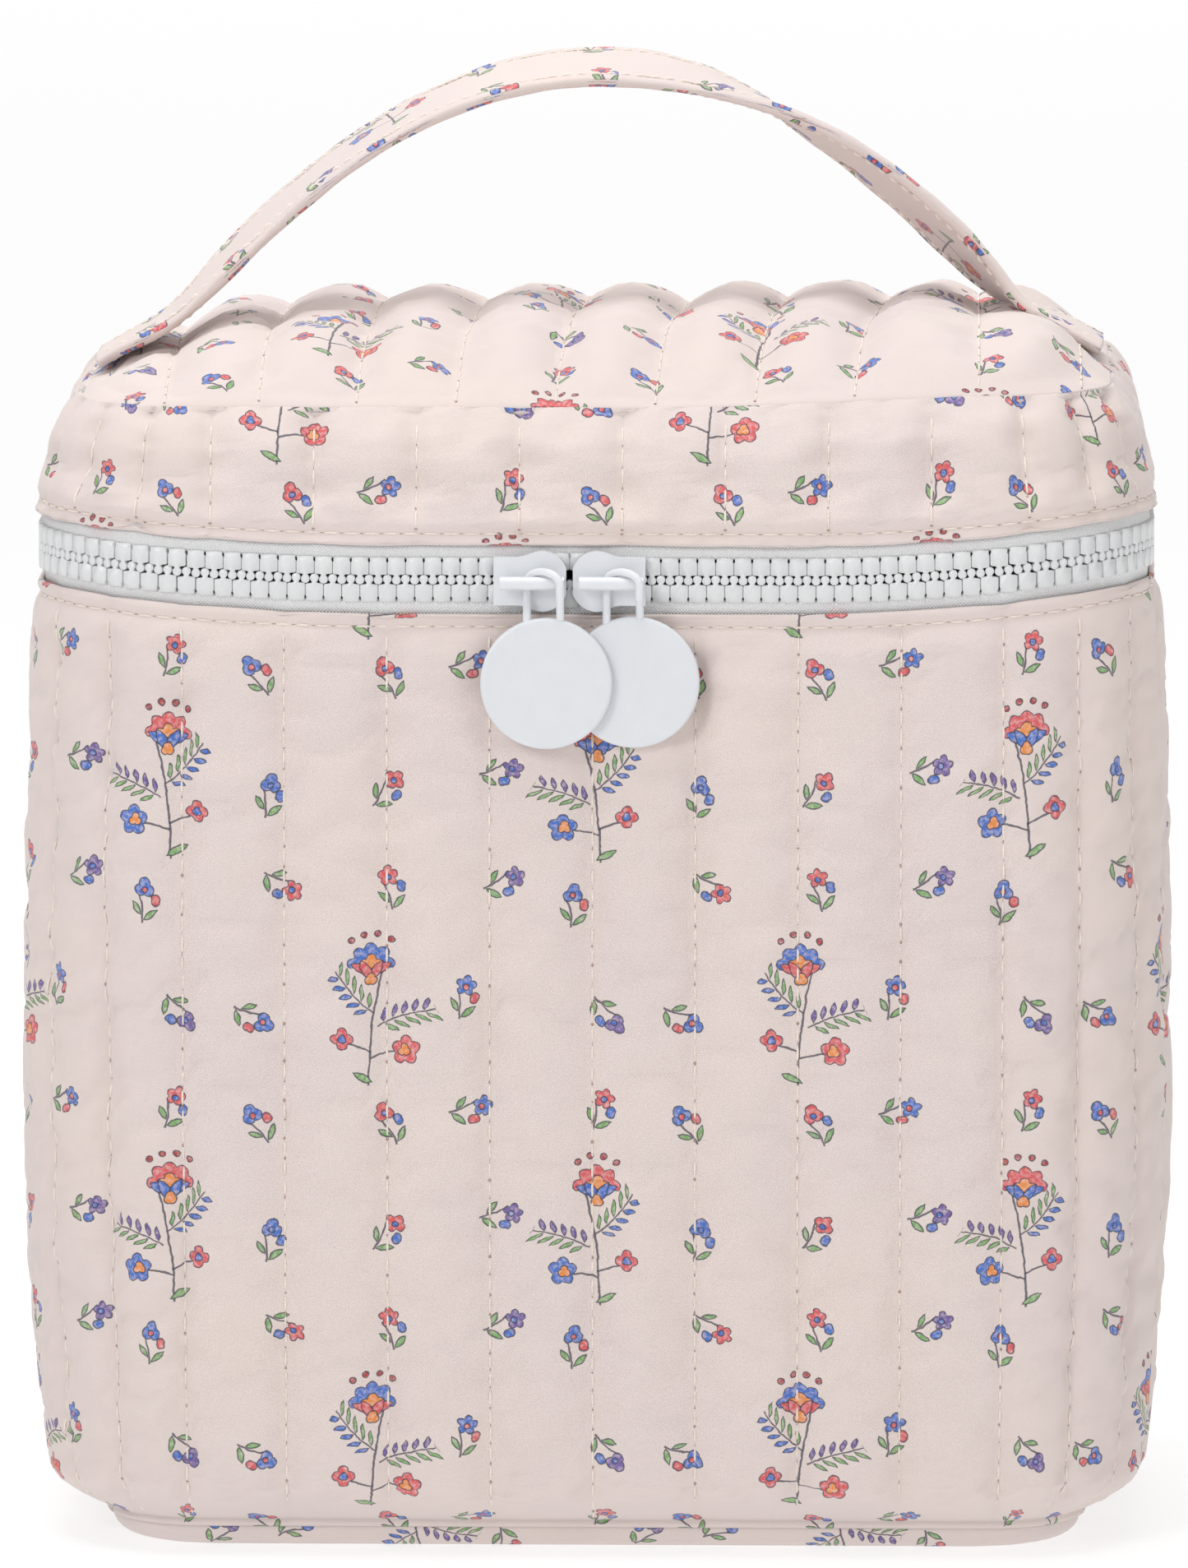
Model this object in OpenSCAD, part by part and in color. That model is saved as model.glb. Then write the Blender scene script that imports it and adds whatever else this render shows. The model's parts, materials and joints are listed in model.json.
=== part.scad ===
// Quilted zip-round box bag with a strap handle.
// Right is +X, the front is -Y, up is +Z; the origin is the middle of the base's underside.

/* [Body] */
// Width of the body at its fullest
body_w = 240; // [200:1:290]
// Depth of the body at its fullest
body_d = 150; // [124:1:185]
// Height of the zip's centre line above the table
zip_z = 206; // [165:1:250]
// Plan radius of the body's upright corners
corner_r = 38; // [34:1:46]
// Thickness of the quilted walls
quilt_t = 6; // [4.5:0.1:7.5]
// How far the walls curve in at the base seam
base_tuck = 17; // [8:0.5:18]
// Height over which the walls curve in to the base seam
tuck_h = 85; // [50:1:110]
// Thickness of the quilted base panel
base_t = 5.7; // [4:0.1:8]
// Thickness of the stiffener board in the base
board_t = 1.6; // [1:0.1:3]
// Thickness of the lining fabric
lining_t = 1; // [0.6:0.1:1.5]

/* [Lid] */
// Height of the lid's top seam above the zip's centre line
lid_h = 35; // [30:0.5:42]
// How far the lid's top seam stands in from the body's outline
lid_inset = 13; // [11:0.5:15]
// Rise of the domed top above its seam
dome_h = 16; // [10:0.5:22]
// Thickness of the domed top in the middle
dome_t = 7; // [5:0.1:9]

/* [Zip] */
// Height of the open zip band between the two fabric edges
band_h = 13.4; // [13:0.1:15]
// Width of the closed tooth chain
chain_w = 8.2; // [7.6:0.1:8.6]
// Thickness of the teeth, front to back
tooth_t = 3.8; // [3:0.1:4.4]
// Spacing of the teeth along one tape
tooth_pitch = 3.75; // [3.4:0.05:5]
// Thickness of the tapes
tape_t = 1; // [0.6:0.1:1.2]
// How far each tape is sewn in behind the fabric edge
tape_sewn = 6; // [4:0.5:7]
// Length of one slider
slider_l = 15; // [14:0.5:18]
// Thickness of a slider's plates
plate_t = 1.6; // [1:0.1:1.6]
// Space between the two slider noses
nose_gap = 1.4; // [0.8:0.1:3]
// Where the noses meet, right of the middle
nose_x = -4.7; // [-8:0.1:8]

/* [Pulls] */
// Diameter of a pull disc
disc_d = 27.3; // [22:0.1:30]
// Thickness of a pull disc
disc_t = 2.2; // [1.8:0.1:2.2]
// Radius of the pulls' wire
wire_r = 0.85; // [0.6:0.05:0.95]
// Radius of the round bridge on a slider
bridge_r = 1.4; // [1:0.05:1.5]

/* [Handle] */
// Height of the handle above the lid's highest point
handle_h = 52; // [40:1:70]
// Width of the strap
strap_w = 25; // [18:1:28]
// Thickness of the strap
strap_t = 3; // [2:0.1:4]

/* [Hidden] */

// clearances
seam_gap = 0.3;     // between fabric layers that lie on each other
run_gap = 0.5;      // between a slider and the teeth it runs on
hinge_gap = 0.3;    // half the gap between the body's and the lid's back walls
wire_gap = 0.15;    // between a pull's wire and the bridge it hangs on
tape_gap = 0.4;     // between the tape and a slider's lips

half_w = body_w / 2;
half_d = body_d / 2;
corner_x = half_w - corner_r;   // centres of the plan corners
corner_y = half_d - corner_r;

// heights, from the table up
wall_low = base_t + 0.2;
band_low = zip_z - band_h / 2;
band_high = zip_z + band_h / 2;
lid_seam_z = zip_z + lid_h;
dome_top = lid_seam_z + dome_h;

// insets from the body's outline
edge_inset = 2.4;                            // outer face of the fabric at the zip
tape_inset = 4.8;                            // outer face of the tapes
tape_mid = tape_inset + tape_t / 2;
edge_in = tape_inset - 0.2;                  // inner face of the fabric in front of the tapes
tooth_out = tape_mid - tooth_t / 2;
tooth_in = tape_mid + tooth_t / 2;
lining_in = edge_inset + quilt_t + seam_gap; // clear of the back wall's inner face
lid_in = 7.6;                                // inner face of the lid's band low down
full_h = zip_z - 91;                         // the walls lean in from here up to the zip

// The wall's outer face: curved in at the base, and gently in again towards the zip
function wall_out(z) =
    base_tuck * pow(max(0, 1 - (z - wall_low) / tuck_h), 3.4)
    + edge_inset * pow(max(0, min(z, band_low) - full_h) / (band_low - full_h), 2);
function wall_in(z) = wall_out(z) + quilt_t;

// Heights at which a wall's outline has a point, closer together where it curves in
wall_steps = 14;
wall_zs = [for (i = [0:wall_steps]) wall_low + (band_low - wall_low) * pow(i / wall_steps, 1.7)];
tape_step = band_low - tape_sewn - 2;        // the wall thins above this, in front of the sewn tape
inner_zs = concat([for (z = wall_zs) if (z < tape_step - 1) z], [tape_step]);
function reversed(list) = [for (i = [len(list) - 1:-1:0]) list[i]];

// The lid band's faces: upright at the zip, rolling in to the top seam
function gusset_out(z) =
    edge_inset + (lid_inset - edge_inset) * pow(max(0, z - band_high) / (lid_seam_z - band_high), 3);
gusset_turn = band_high + tape_sewn + 0.8;   // above the sewn edge of the tape
gusset_top_in = lid_seam_z - 4;
function gusset_in(z) = let (rise = max(0, z - gusset_turn) / (gusset_top_in - gusset_turn))
    min(lid_inset, lid_in + (lid_inset - lid_in) * pow(rise, 2));
gusset_steps = 8;
function gusset_zs(low, high) = [for (i = [0:gusset_steps]) low + (high - low) * i / gusset_steps];

// ---- walls that follow the plan; an outline is a list of [inset, height] points ----
module straight_wall(outline, reach, from, to) {
    translate([from, 0, 0]) rotate([90, 0, 90]) linear_extrude(to - from)
        polygon([for (p = outline) [p[0] - reach, p[1]]]);
}

// turn is 0 for the back right corner, 90 back left, 180 front left, 270 front right
module corner_wall(outline, turn) {
    sx = (turn == 0 || turn == 270) ? 1 : -1;
    sy = turn < 180 ? 1 : -1;
    translate([sx * corner_x, sy * corner_y, 0]) rotate([0, 0, turn])
        rotate_extrude(angle = 90) polygon([for (p = outline) [corner_r - p[0], p[1]]]);
}

// front, both front corners, and both sides as far back as end_y
module front_band(outline, end_y) {
    straight_wall(outline, half_d, -corner_x, corner_x);
    for (turn = [180, 270]) corner_wall(outline, turn);
    rotate([0, 0, 90]) straight_wall(outline, half_w, -corner_y, end_y);
    rotate([0, 0, -90]) straight_wall(outline, half_w, -end_y, corner_y);
}

// back and both back corners
module back_band(outline) {
    rotate([0, 0, 180]) straight_wall(outline, half_d, -corner_x, corner_x);
    for (turn = [0, 90]) corner_wall(outline, turn);
}

// all the way round
module whole_band(outline) {
    front_band(outline, corner_y);
    back_band(outline);
}

// A level plate with the plan's outline, set in by inset
module plan_plate(inset, low, high) {
    translate([0, 0, low]) linear_extrude(high - low) union() {
        square([2 * (half_w - inset), 2 * corner_y], center = true);
        square([2 * corner_x, 2 * (half_d - inset)], center = true);
        for (x = [-corner_x, corner_x], y = [-corner_y, corner_y])
            translate([x, y]) circle(r = corner_r - inset, $fn = 96);
    }
}

// ---- body ----
function wall_outline(high, step_in) = concat(
    [for (z = wall_zs) [wall_out(z), z]],
    high > band_low ? [[edge_inset, high]] : [],
    step_in ? [[edge_in, high], [edge_in, tape_step + 1.5]] : [[wall_in(tape_step), high]],
    [for (z = reversed(inner_zs)) [wall_in(z), z]]);

module body_wrap() {
    color([0.93, 0.86, 0.83]) front_band(wall_outline(band_low, true), corner_y);
}

module back_panel() {
    color([0.92, 0.84, 0.81]) back_band(wall_outline(zip_z - hinge_gap, false));
}

// flat underneath, with a rolled edge that meets the walls at the base seam
base_edge = base_tuck + 0.4;
base_flat = base_edge + 3.6;
module base_panel() {
    color([0.91, 0.83, 0.80]) {
        plan_plate(base_flat, 0, base_t);
        whole_band([[base_flat, 0], [base_flat, base_t], [base_edge, base_t], [base_edge, 3.2],
            [base_edge + 1, 1.2]]);
    }
}

board_low = base_t + seam_gap;
board_high = board_low + board_t;
module base_board() {
    color([0.35, 0.35, 0.37]) plan_plate(wall_in(wall_low) + seam_gap, board_low, board_high);
}

floor_low = board_high + seam_gap;
floor_high = floor_low + lining_t;
module body_lining_base() {
    color([0.95, 0.93, 0.90]) plan_plate(wall_in(floor_low) + seam_gap, floor_low, floor_high);
}

lining_top = band_low - 0.7;
module body_lining_wall() {
    low = floor_high + seam_gap;
    // [inset of the outer face, height], on the same heights as the walls' inner faces
    outer = concat([[wall_in(low) + seam_gap, low]],
        [for (z = inner_zs) if (z > low + 1) [wall_in(z) + seam_gap, z]],
        [[wall_in(tape_step) + seam_gap, lining_top]]);
    color([0.95, 0.93, 0.90])
        whole_band(concat(outer, [for (p = reversed(outer)) [p[0] + lining_t, p[1]]]));
}

// the lower half of the fabric strip on which the lid turns
module hinge_strip() {
    color([0.90, 0.82, 0.79]) rotate([0, 0, 180]) straight_wall(
        [[lining_in, lining_top + 0.4], [lining_in, zip_z - hinge_gap],
            [lining_in + lining_t, zip_z - hinge_gap], [lining_in + lining_t, lining_top + 0.4]],
        half_d, 2 - corner_x, corner_x - 2);
}

// ---- lid ----
module lid_gusset() {
    top = gusset_zs(band_high, lid_seam_z);
    inside = gusset_zs(gusset_top_in, gusset_turn + 1);
    color([0.94, 0.87, 0.84]) front_band(concat(
        [for (z = top) [gusset_out(z), z]],
        [for (z = inside) [gusset_in(z), z]],
        [[edge_in, gusset_turn - 0.4], [edge_in, band_high]]), corner_y);
}

module lid_back_panel() {
    top = gusset_zs(band_high, lid_seam_z);
    inside = gusset_zs(gusset_top_in, gusset_turn + 1);
    color([0.92, 0.84, 0.81]) back_band(concat(
        [[edge_inset, zip_z + hinge_gap]],
        [for (z = top) [gusset_out(z), z]],
        [for (z = inside) [gusset_in(z), z]],
        [[lid_in, zip_z + hinge_gap]]));
}

// Plan outline of the lid's seam, as points from the back right corner round
arc_steps = 8;
function lid_ring(inset) = [for (q = [0:3], i = [0:arc_steps])
    let (a = 90 * q + 90 * i / arc_steps, sx = (q == 0 || q == 3) ? 1 : -1, sy = q < 2 ? 1 : -1)
    [sx * corner_x + (corner_r - inset) * cos(a), sy * corner_y + (corner_r - inset) * sin(a)]];

// Height of the dome's upper face, share being 0 in the middle and 1 at the seam
function dome_z(share) = lid_seam_z + dome_h * (1 - pow(share, 3));

// A domed sheet inside the lid's seam; drop is how far its faces lie under the dome's upper face
dome_rings = 7;
module domed_sheet(inset, drop_mid, drop_edge, thick_mid, thick_edge) {
    ring = lid_ring(inset);
    n = len(ring);
    shares = [for (k = [1:dome_rings]) k / dome_rings];
    function high(s) = dome_z(s) - drop_mid - (drop_edge - drop_mid) * pow(s, 3);
    function low(s) = high(s) - thick_mid - (thick_edge - thick_mid) * pow(s, 3);
    upper = concat([[0, 0, high(0)]], [for (s = shares, p = ring) [s * p[0], s * p[1], high(s)]]);
    lower = concat([[0, 0, low(0)]], [for (s = shares, p = ring) [s * p[0], s * p[1], low(s)]]);
    under = len(upper);
    function at(k, j) = 1 + (k - 1) * n + j % n;
    polyhedron(points = concat(upper, lower), faces = concat(
        [for (j = [0:n - 1]) [0, at(1, j + 1), at(1, j)]],
        [for (k = [1:dome_rings - 1], j = [0:n - 1], half = [0, 1]) half == 0
            ? [at(k, j), at(k, j + 1), at(k + 1, j + 1)] : [at(k, j), at(k + 1, j + 1), at(k + 1, j)]],
        [for (j = [0:n - 1]) [under, under + at(1, j), under + at(1, j + 1)]],
        [for (k = [1:dome_rings - 1], j = [0:n - 1], half = [0, 1]) half == 0
            ? [under + at(k, j), under + at(k + 1, j + 1), under + at(k, j + 1)]
            : [under + at(k, j), under + at(k + 1, j), under + at(k + 1, j + 1)]],
        [for (j = [0:n - 1], half = [0, 1]) let (a = at(dome_rings, j), b = at(dome_rings, j + 1)) half == 0
            ? [a, b, under + b] : [a, under + b, under + a]]));
}

dome_edge_t = lid_seam_z - gusset_top_in - 0.3;
module lid_top_panel() {
    color([0.95, 0.88, 0.85]) domed_sheet(lid_inset + seam_gap, 0, 0, dome_t, dome_edge_t);
}

module lid_lining_top() {
    color([0.95, 0.93, 0.90]) domed_sheet(lid_inset + seam_gap + lining_t + 0.4,
        dome_t + seam_gap, dome_edge_t + seam_gap, lining_t, lining_t);
}

module lid_lining_band() {
    outer = [for (z = gusset_zs(band_high + 0.5, gusset_top_in - 1.8)) [gusset_in(z) + seam_gap, z]];
    color([0.95, 0.93, 0.90])
        whole_band(concat(outer, [for (p = reversed(outer)) [p[0] + lining_t, p[1]]]));
}

// ---- zip ----
tooth_low = zip_z - chain_w / 2;     // where the lower teeth stand on their tape
tooth_high = zip_z + chain_w / 2;
tooth_slot = 1.1;                    // straight gap between the two rows, for the sliders' dividers
stop_l = 3;
tape_end = corner_y - 0.3;
zip_end = tape_end - stop_l - 0.4;   // where the tooth rows end on the sides

module tape(low, high) {
    inner = tape_inset + tape_t;
    front_band([[tape_inset, low], [tape_inset, high], [inner, high], [inner, low]], tape_end);
}

module lower_tape() {
    color([0.86, 0.86, 0.87]) tape(band_low - tape_sewn, tooth_low);
}

module upper_tape() {
    color([0.86, 0.86, 0.87]) tape(tooth_high, band_high + tape_sewn);
}

// The zip's path over its middle line: [x, y, heading] at a distance from its left end
path_r = corner_r - tape_mid;
side_l = zip_end + corner_y;
arc_l = path_r * PI / 2;
front_l = 2 * corner_x;
path_l = 2 * side_l + 2 * arc_l + front_l;
function on_corner(sx, heading) =
    [sx * corner_x + path_r * sin(heading), -corner_y - path_r * cos(heading), heading];
function zip_place(s) =
    s < side_l ? [tape_mid - half_w, zip_end - s, -90]
    : s < side_l + arc_l ? on_corner(-1, -90 + 90 * (s - side_l) / arc_l)
    : s < side_l + arc_l + front_l ? [s - side_l - arc_l - corner_x, tape_mid - half_d, 0]
    : s < path_l - side_l ? on_corner(1, 90 * (s - side_l - arc_l - front_l) / arc_l)
    : [half_w - tape_mid, s - path_l + side_l - corner_y, 90];

tooth_count = floor(path_l / tooth_pitch);
tooth_step = path_l / tooth_count;
tooth_w = tooth_step - 0.4;
head_w = tooth_step * 0.36;
head_h = chain_w / 2 - tooth_slot / 2;
shoulder_h = head_h * 0.72;
module tooth_row(base_z, way, phase) {
    for (i = [0:tooth_count - 2]) {
        place = zip_place((i + phase) * tooth_step);
        translate([place[0], place[1], base_z]) rotate([0, 0, place[2]]) rotate([90, 0, 0])
            linear_extrude(tooth_t, center = true)
                polygon([for (p = [[-tooth_w / 2, 0], [tooth_w / 2, 0], [tooth_w / 2, shoulder_h - 0.3],
                    [head_w / 2, shoulder_h], [head_w / 2, head_h], [-head_w / 2, head_h],
                    [-head_w / 2, shoulder_h], [-tooth_w / 2, shoulder_h - 0.3]]) [p[0], way * p[1]]]);
    }
}

module lower_teeth() {
    color([0.95, 0.95, 0.96]) tooth_row(tooth_low, 1, 0.75);
}

module upper_teeth() {
    color([0.95, 0.95, 0.96]) tooth_row(tooth_high, -1, 1.25);
}

// moulded blocks that end a tooth row on both sides of the bag
module stops(low) {
    for (side = [-1, 1]) translate([side * (half_w - tape_mid) - tooth_t / 2, zip_end + 0.2, low])
        cube([tooth_t, stop_l, head_h]);
}

module lower_stops() {
    color([0.95, 0.95, 0.96]) stops(tooth_low);
}

module upper_stops() {
    color([0.95, 0.95, 0.96]) stops(tooth_high - head_h);
}

// ---- sliders; each is drawn with its nose towards +X and its middle at x = 0 ----
plate_out = tooth_out - run_gap - plate_t;    // inset of the front plate's outer face
back_plate_in = tooth_in + run_gap + 0.2;
nose_h = band_h / 2 - 0.4;
tail_h = chain_w / 2 + 0.9;
wire_h = bridge_r + wire_gap + wire_r;        // from the bridge's axis to the wire's
bridge_y = plate_out - half_d - wire_h - wire_r - 0.25;
bridge_low = -slider_l / 2 + 1.4;
bridge_high = slider_l / 2 - 0.3;
wire_span = 6.9;                              // between a pull's two legs
wire_right = slider_l / 2 - 1.1;              // the outer leg, in front of the bridge's post
wire_left = wire_right - wire_span;

// half height of a plate along its length: narrow tail, wide shoulders, rounded nose
shoulder_x = slider_l / 6;
function plate_h(x) =
    x < -shoulder_x ? tail_h
    : x < shoulder_x ? let (t = (x + shoulder_x) / (2 * shoulder_x))
        tail_h + (nose_h - tail_h) * t * t * (3 - 2 * t)
    : nose_h * sqrt(1 - pow((x - shoulder_x) / (slider_l / 2 - shoulder_x + 0.6), 2));
module plate(inset, thick) {
    xs = [for (i = [0:24]) slider_l * (i / 24 - 0.5)];
    translate([0, inset + thick - half_d, zip_z]) rotate([90, 0, 0]) linear_extrude(thick)
        polygon(concat([for (x = xs) [x, plate_h(x)]], [for (x = reversed(xs)) [x, -plate_h(x)]]));
}

// divider between the rows, and the lips under the lower row, open above so that the lid can lift out
module slider_body() {
    divider_h = tooth_slot - 0.4;
    lip_h = tail_h - chain_w / 2 - 0.25;
    plate(plate_out, plate_t);
    plate(back_plate_in, plate_t * 0.75);
    translate([shoulder_x + 0.4, plate_out + plate_t / 2 - half_d, zip_z - divider_h / 2])
        cube([2.8, back_plate_in - plate_out, divider_h]);
    front_lip = [plate_out + plate_t / 2, tape_inset - tape_gap];
    back_lip = [tape_inset + tape_t + tape_gap, back_plate_in + plate_t / 3];
    for (y = [front_lip, back_lip])
        translate([-slider_l / 2 + 0.3, y[0] - half_d, zip_z - tail_h])
            cube([slider_l / 3 - 0.6, y[1] - y[0], lip_h]);
}

module bridge() {
    translate([bridge_low, bridge_y, zip_z]) rotate([0, 90, 0])
        cylinder(r = bridge_r, h = bridge_high - bridge_low, $fn = 48);
    for (x = [[bridge_low, bridge_low + 1.2], [wire_right - 0.1, bridge_high]])
        translate([x[0], bridge_y, zip_z - 0.8])
            cube([x[1] - x[0], plate_out + plate_t / 2 - half_d - bridge_y, 1.6]);
}

slider_mid = [nose_x - nose_gap / 2 - slider_l / 2, nose_x + nose_gap / 2 + slider_l / 2];
module slider_left() {
    color([0.93, 0.94, 0.96]) translate([slider_mid[0], 0, 0]) {
        slider_body();
        bridge();
    }
}

module slider_right() {
    color([0.93, 0.94, 0.96]) translate([slider_mid[1], 0, 0]) {
        mirror([1, 0, 0]) slider_body();
        bridge();
    }
}

// ---- pulls ----
// The discs hang one in front of the other: the right one next to the fabric
disc_top = zip_z - 7;
disc_z = disc_top - disc_d / 2;
disc_y = [bridge_y - 0.8, bridge_y + 1.7];
disc_x = [slider_mid[0] + 3.5, slider_mid[1] + 5.1];

// A wire swept along points, as rings of sides joined by faces
wire_sides = 10;
module wire(points) {
    n = len(points);
    function way(i) = let (d = points[min(i + 1, n - 1)] - points[max(i - 1, 0)]) d / norm(d);
    rings = [for (i = [0:n - 1]) let (u = [0, 1, 0] - way(i) * way(i)[1], v = cross(way(i), u / norm(u)))
        for (j = [0:wire_sides - 1]) let (a = 360 * j / wire_sides)
            points[i] + wire_r * (cos(a) * u / norm(u) + sin(a) * v)];
    polyhedron(points = rings, faces = concat(
        [[for (j = [wire_sides - 1:-1:0]) j]],
        [for (i = [0:n - 2], j = [0:wire_sides - 1], half = [0, 1])
            let (a = i * wire_sides + j, b = i * wire_sides + (j + 1) % wire_sides)
            half == 0 ? [a, b, b + wire_sides] : [a, b + wire_sides, a + wire_sides]],
        [[for (j = [0:wire_sides - 1]) (n - 1) * wire_sides + j]]));
}

// The loop goes up behind the bridge, over it, and down in front, and its feet are set in the disc
module pull_loop(side) {
    foot = 2.2;
    mid_x = slider_mid[side] + (wire_left + wire_right) / 2;
    half = (wire_right - wire_left) / 2;
    down = zip_z - disc_top + foot;
    // straight down past the bridge, then across to the disc's middle plane
    function leg(x, y, t) =
        [x, bridge_y + y + (disc_y[side] - bridge_y - y) * max(0, min(1, 2 * t - 0.6)), zip_z - down * t];
    color([0.93, 0.94, 0.96]) wire(concat(
        [for (t = [1, 0.8, 0.55, 0.3]) leg(mid_x - half, wire_h, t)],
        [for (a = [0:15:180]) [mid_x - half * cos(a), bridge_y + wire_h * cos(a), zip_z + wire_h * sin(a)]],
        [for (t = [0.3, 0.55, 0.8, 1]) leg(mid_x + half, -wire_h, t)]));
}

module pull_disc(side) {
    edge = 0.5;
    color([0.93, 0.94, 0.96]) translate([disc_x[side], disc_y[side], disc_z]) rotate([90, 0, 0])
        rotate_extrude($fn = 96) polygon([[0, -disc_t / 2], [disc_d / 2 - edge, -disc_t / 2],
            [disc_d / 2, edge - disc_t / 2], [disc_d / 2, disc_t / 2 - edge],
            [disc_d / 2 - edge, disc_t / 2], [0, disc_t / 2]]);
}

module pull_loop_left() { pull_loop(0); }
module pull_loop_right() { pull_loop(1); }
module pull_disc_left() { pull_disc(0); }
module pull_disc_right() { pull_disc(1); }

// ---- handle ----
strap_top = dome_top + handle_h;
lid_half = half_w - lid_inset;
foot_x = lid_half - 15;                      // where the strap comes down on the lid
strap_end = lid_half - 1.5;                  // where its sewn-down ends meet the lid's seam
foot_z = dome_z(foot_x / lid_half) + seam_gap;
sag = (strap_top - strap_t - foot_z) / pow(foot_x, 2);
swing_x = foot_x - 12;                       // the strap swings between its two ends here
function strap_low(x) =
    max(strap_top - strap_t - sag * x * x, dome_z(min(1, abs(x) / lid_half)) + seam_gap);
function strap_high(x) = strap_low(x)
    + strap_t * sqrt(1 + pow(strap_low(abs(x)) - strap_low(abs(x) - 1), 2));

module strap_piece(from, to, steps) {
    xs = [for (i = [0:steps]) from + (to - from) * i / steps];
    rotate([90, 0, 0]) linear_extrude(strap_w, center = true) polygon(concat(
        [for (x = xs) [x, strap_high(x)]], [for (x = reversed(xs)) [x, strap_low(x)]]));
}

module handle_strap() {
    color([0.94, 0.88, 0.83]) strap_piece(-swing_x, swing_x, 32);
}

module handle_end_right() {
    color([0.94, 0.88, 0.83]) strap_piece(swing_x + seam_gap, strap_end, 12);
}

module handle_end_left() {
    color([0.94, 0.88, 0.83]) mirror([1, 0, 0]) strap_piece(swing_x + seam_gap, strap_end, 12);
}

body_wrap();
back_panel();
base_panel();
base_board();
body_lining_wall();
body_lining_base();
lower_tape();
lower_teeth();
lower_stops();
hinge_strip();
lid_top_panel();
lid_gusset();
lid_back_panel();
lid_lining_top();
lid_lining_band();
upper_tape();
upper_teeth();
upper_stops();
handle_end_left();
handle_end_right();
slider_left();
slider_right();
pull_loop_left();
pull_loop_right();
pull_disc_left();
pull_disc_right();
handle_strap();
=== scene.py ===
# Quilted box bag with a zip round the front and sides, a domed lid and a strap handle.
# Lengths are in millimetres and become metres where a mesh is made.
import json
import math

import bmesh
import bpy
import numpy as np
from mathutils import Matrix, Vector, noise


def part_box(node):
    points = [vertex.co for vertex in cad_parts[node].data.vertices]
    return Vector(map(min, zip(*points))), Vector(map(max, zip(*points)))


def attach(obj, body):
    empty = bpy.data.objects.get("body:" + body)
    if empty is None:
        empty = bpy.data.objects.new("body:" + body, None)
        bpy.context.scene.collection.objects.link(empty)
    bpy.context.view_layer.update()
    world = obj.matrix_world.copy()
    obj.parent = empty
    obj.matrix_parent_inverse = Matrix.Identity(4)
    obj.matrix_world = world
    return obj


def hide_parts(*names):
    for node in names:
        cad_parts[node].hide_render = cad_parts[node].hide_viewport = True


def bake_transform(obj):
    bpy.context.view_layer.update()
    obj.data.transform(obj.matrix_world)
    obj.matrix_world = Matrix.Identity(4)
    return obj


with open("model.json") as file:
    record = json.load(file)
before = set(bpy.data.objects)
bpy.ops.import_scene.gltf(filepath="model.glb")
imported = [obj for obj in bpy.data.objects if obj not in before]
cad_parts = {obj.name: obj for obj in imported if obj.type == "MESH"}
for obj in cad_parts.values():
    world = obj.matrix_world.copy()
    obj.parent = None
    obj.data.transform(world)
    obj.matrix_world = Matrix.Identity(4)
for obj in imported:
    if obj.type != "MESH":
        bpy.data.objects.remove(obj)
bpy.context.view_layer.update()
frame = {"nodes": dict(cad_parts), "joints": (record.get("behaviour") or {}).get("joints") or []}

scene = bpy.context.scene
mm = 0.001


def cad(node):
    low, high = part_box(node)
    return np.array(low) / mm, np.array(high) / mm


# sizes read from the frame
wrapLow, wrapHigh = cad("body_wrap")
bandLow, bandHigh = cad("lid_gusset")
lidHigh = cad("lid_top_panel")[1]
baseHigh = cad("base_panel")[1]
tapeLow = cad("lower_tape")[0]
strapHigh = cad("handle_strap")[1]
footHigh = cad("handle_end_right")[1]

halfWide = wrapHigh[0]
halfDeep = -wrapLow[1]
sideEnd = wrapHigh[1]                      # where the side meets the back corner
cornerRadius = halfDeep - sideEnd
cornerX = halfWide - cornerRadius
cornerY = halfDeep - cornerRadius
wallLow, zipLow = wrapLow[2], wrapHigh[2]  # the body's wall, up to the zip's lower fabric edge
zipHigh, seamTop = bandLow[2], bandHigh[2]  # the lid's band, from the zip to its top seam
zipMiddle = (zipLow + zipHigh) / 2
edgeInset = halfDeep + bandLow[1]          # outer face of the fabric at the zip
lidInset = halfWide - lidHigh[0] - 1.0     # how far the top seam stands in; the puffed lid fills its corners
domeTop = lidHigh[2]
baseTuck = halfWide - baseHigh[0] - 0.4
tapeInset = halfDeep + tapeLow[1]
cornerArc = cornerRadius * math.pi / 2
frontEnd = cornerX + cornerArc + 2 * cornerY   # from the front's middle round to a side's back end
halfRound = frontEnd + cornerArc + cornerX
tuckHeight = 85
fullHeight = zipMiddle - 91
sliderTravel = max(j["range_m"][1] for j in frame["joints"] if j["type"] == "slide") / mm

quilt = {
    "thickness": 6,
    "bandThickness": 4.2,
    "channel": 21.3,        # between stitch lines on the flat front
    "cornerChannel": 17.5,  # round the corners
    "puff": 2.0,            # how deep the stitch lines sink
    "uneven": 38,           # size of the patches that are puffed more or less
    "swell": (1.0, 46),     # height and size of the broad swelling
    "pucker": (1.5, 5.5),   # height and size of the puckers at the stitch lines
    "puckerReach": 4.5,     # how far the puckers reach from a stitch line
    "crease": (0.55, 8),    # height and size of the creases between them
    "hemSink": (0.8, 0.9),  # depth and width of the valley at the topstitching
    "stitchLength": 4.1,
    "threadRadius": 0.26,
    "hem": 3.0,             # topstitching to fabric edge
    "footHeight": 11,       # height of the rounding above the base seam
}
dome = {"rise": 1.2, "power": 4.2}              # height over the frame's, and how flat the middle is
fold = 1.1                                      # radius of a folded fabric edge at the zip
zipLine = {"leftRise": 3.4, "rightRise": 4.8}   # how much higher the zip lies at the front corners
lidRise = 3.2                                   # how much higher the lid's seam lies at its right end


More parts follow.
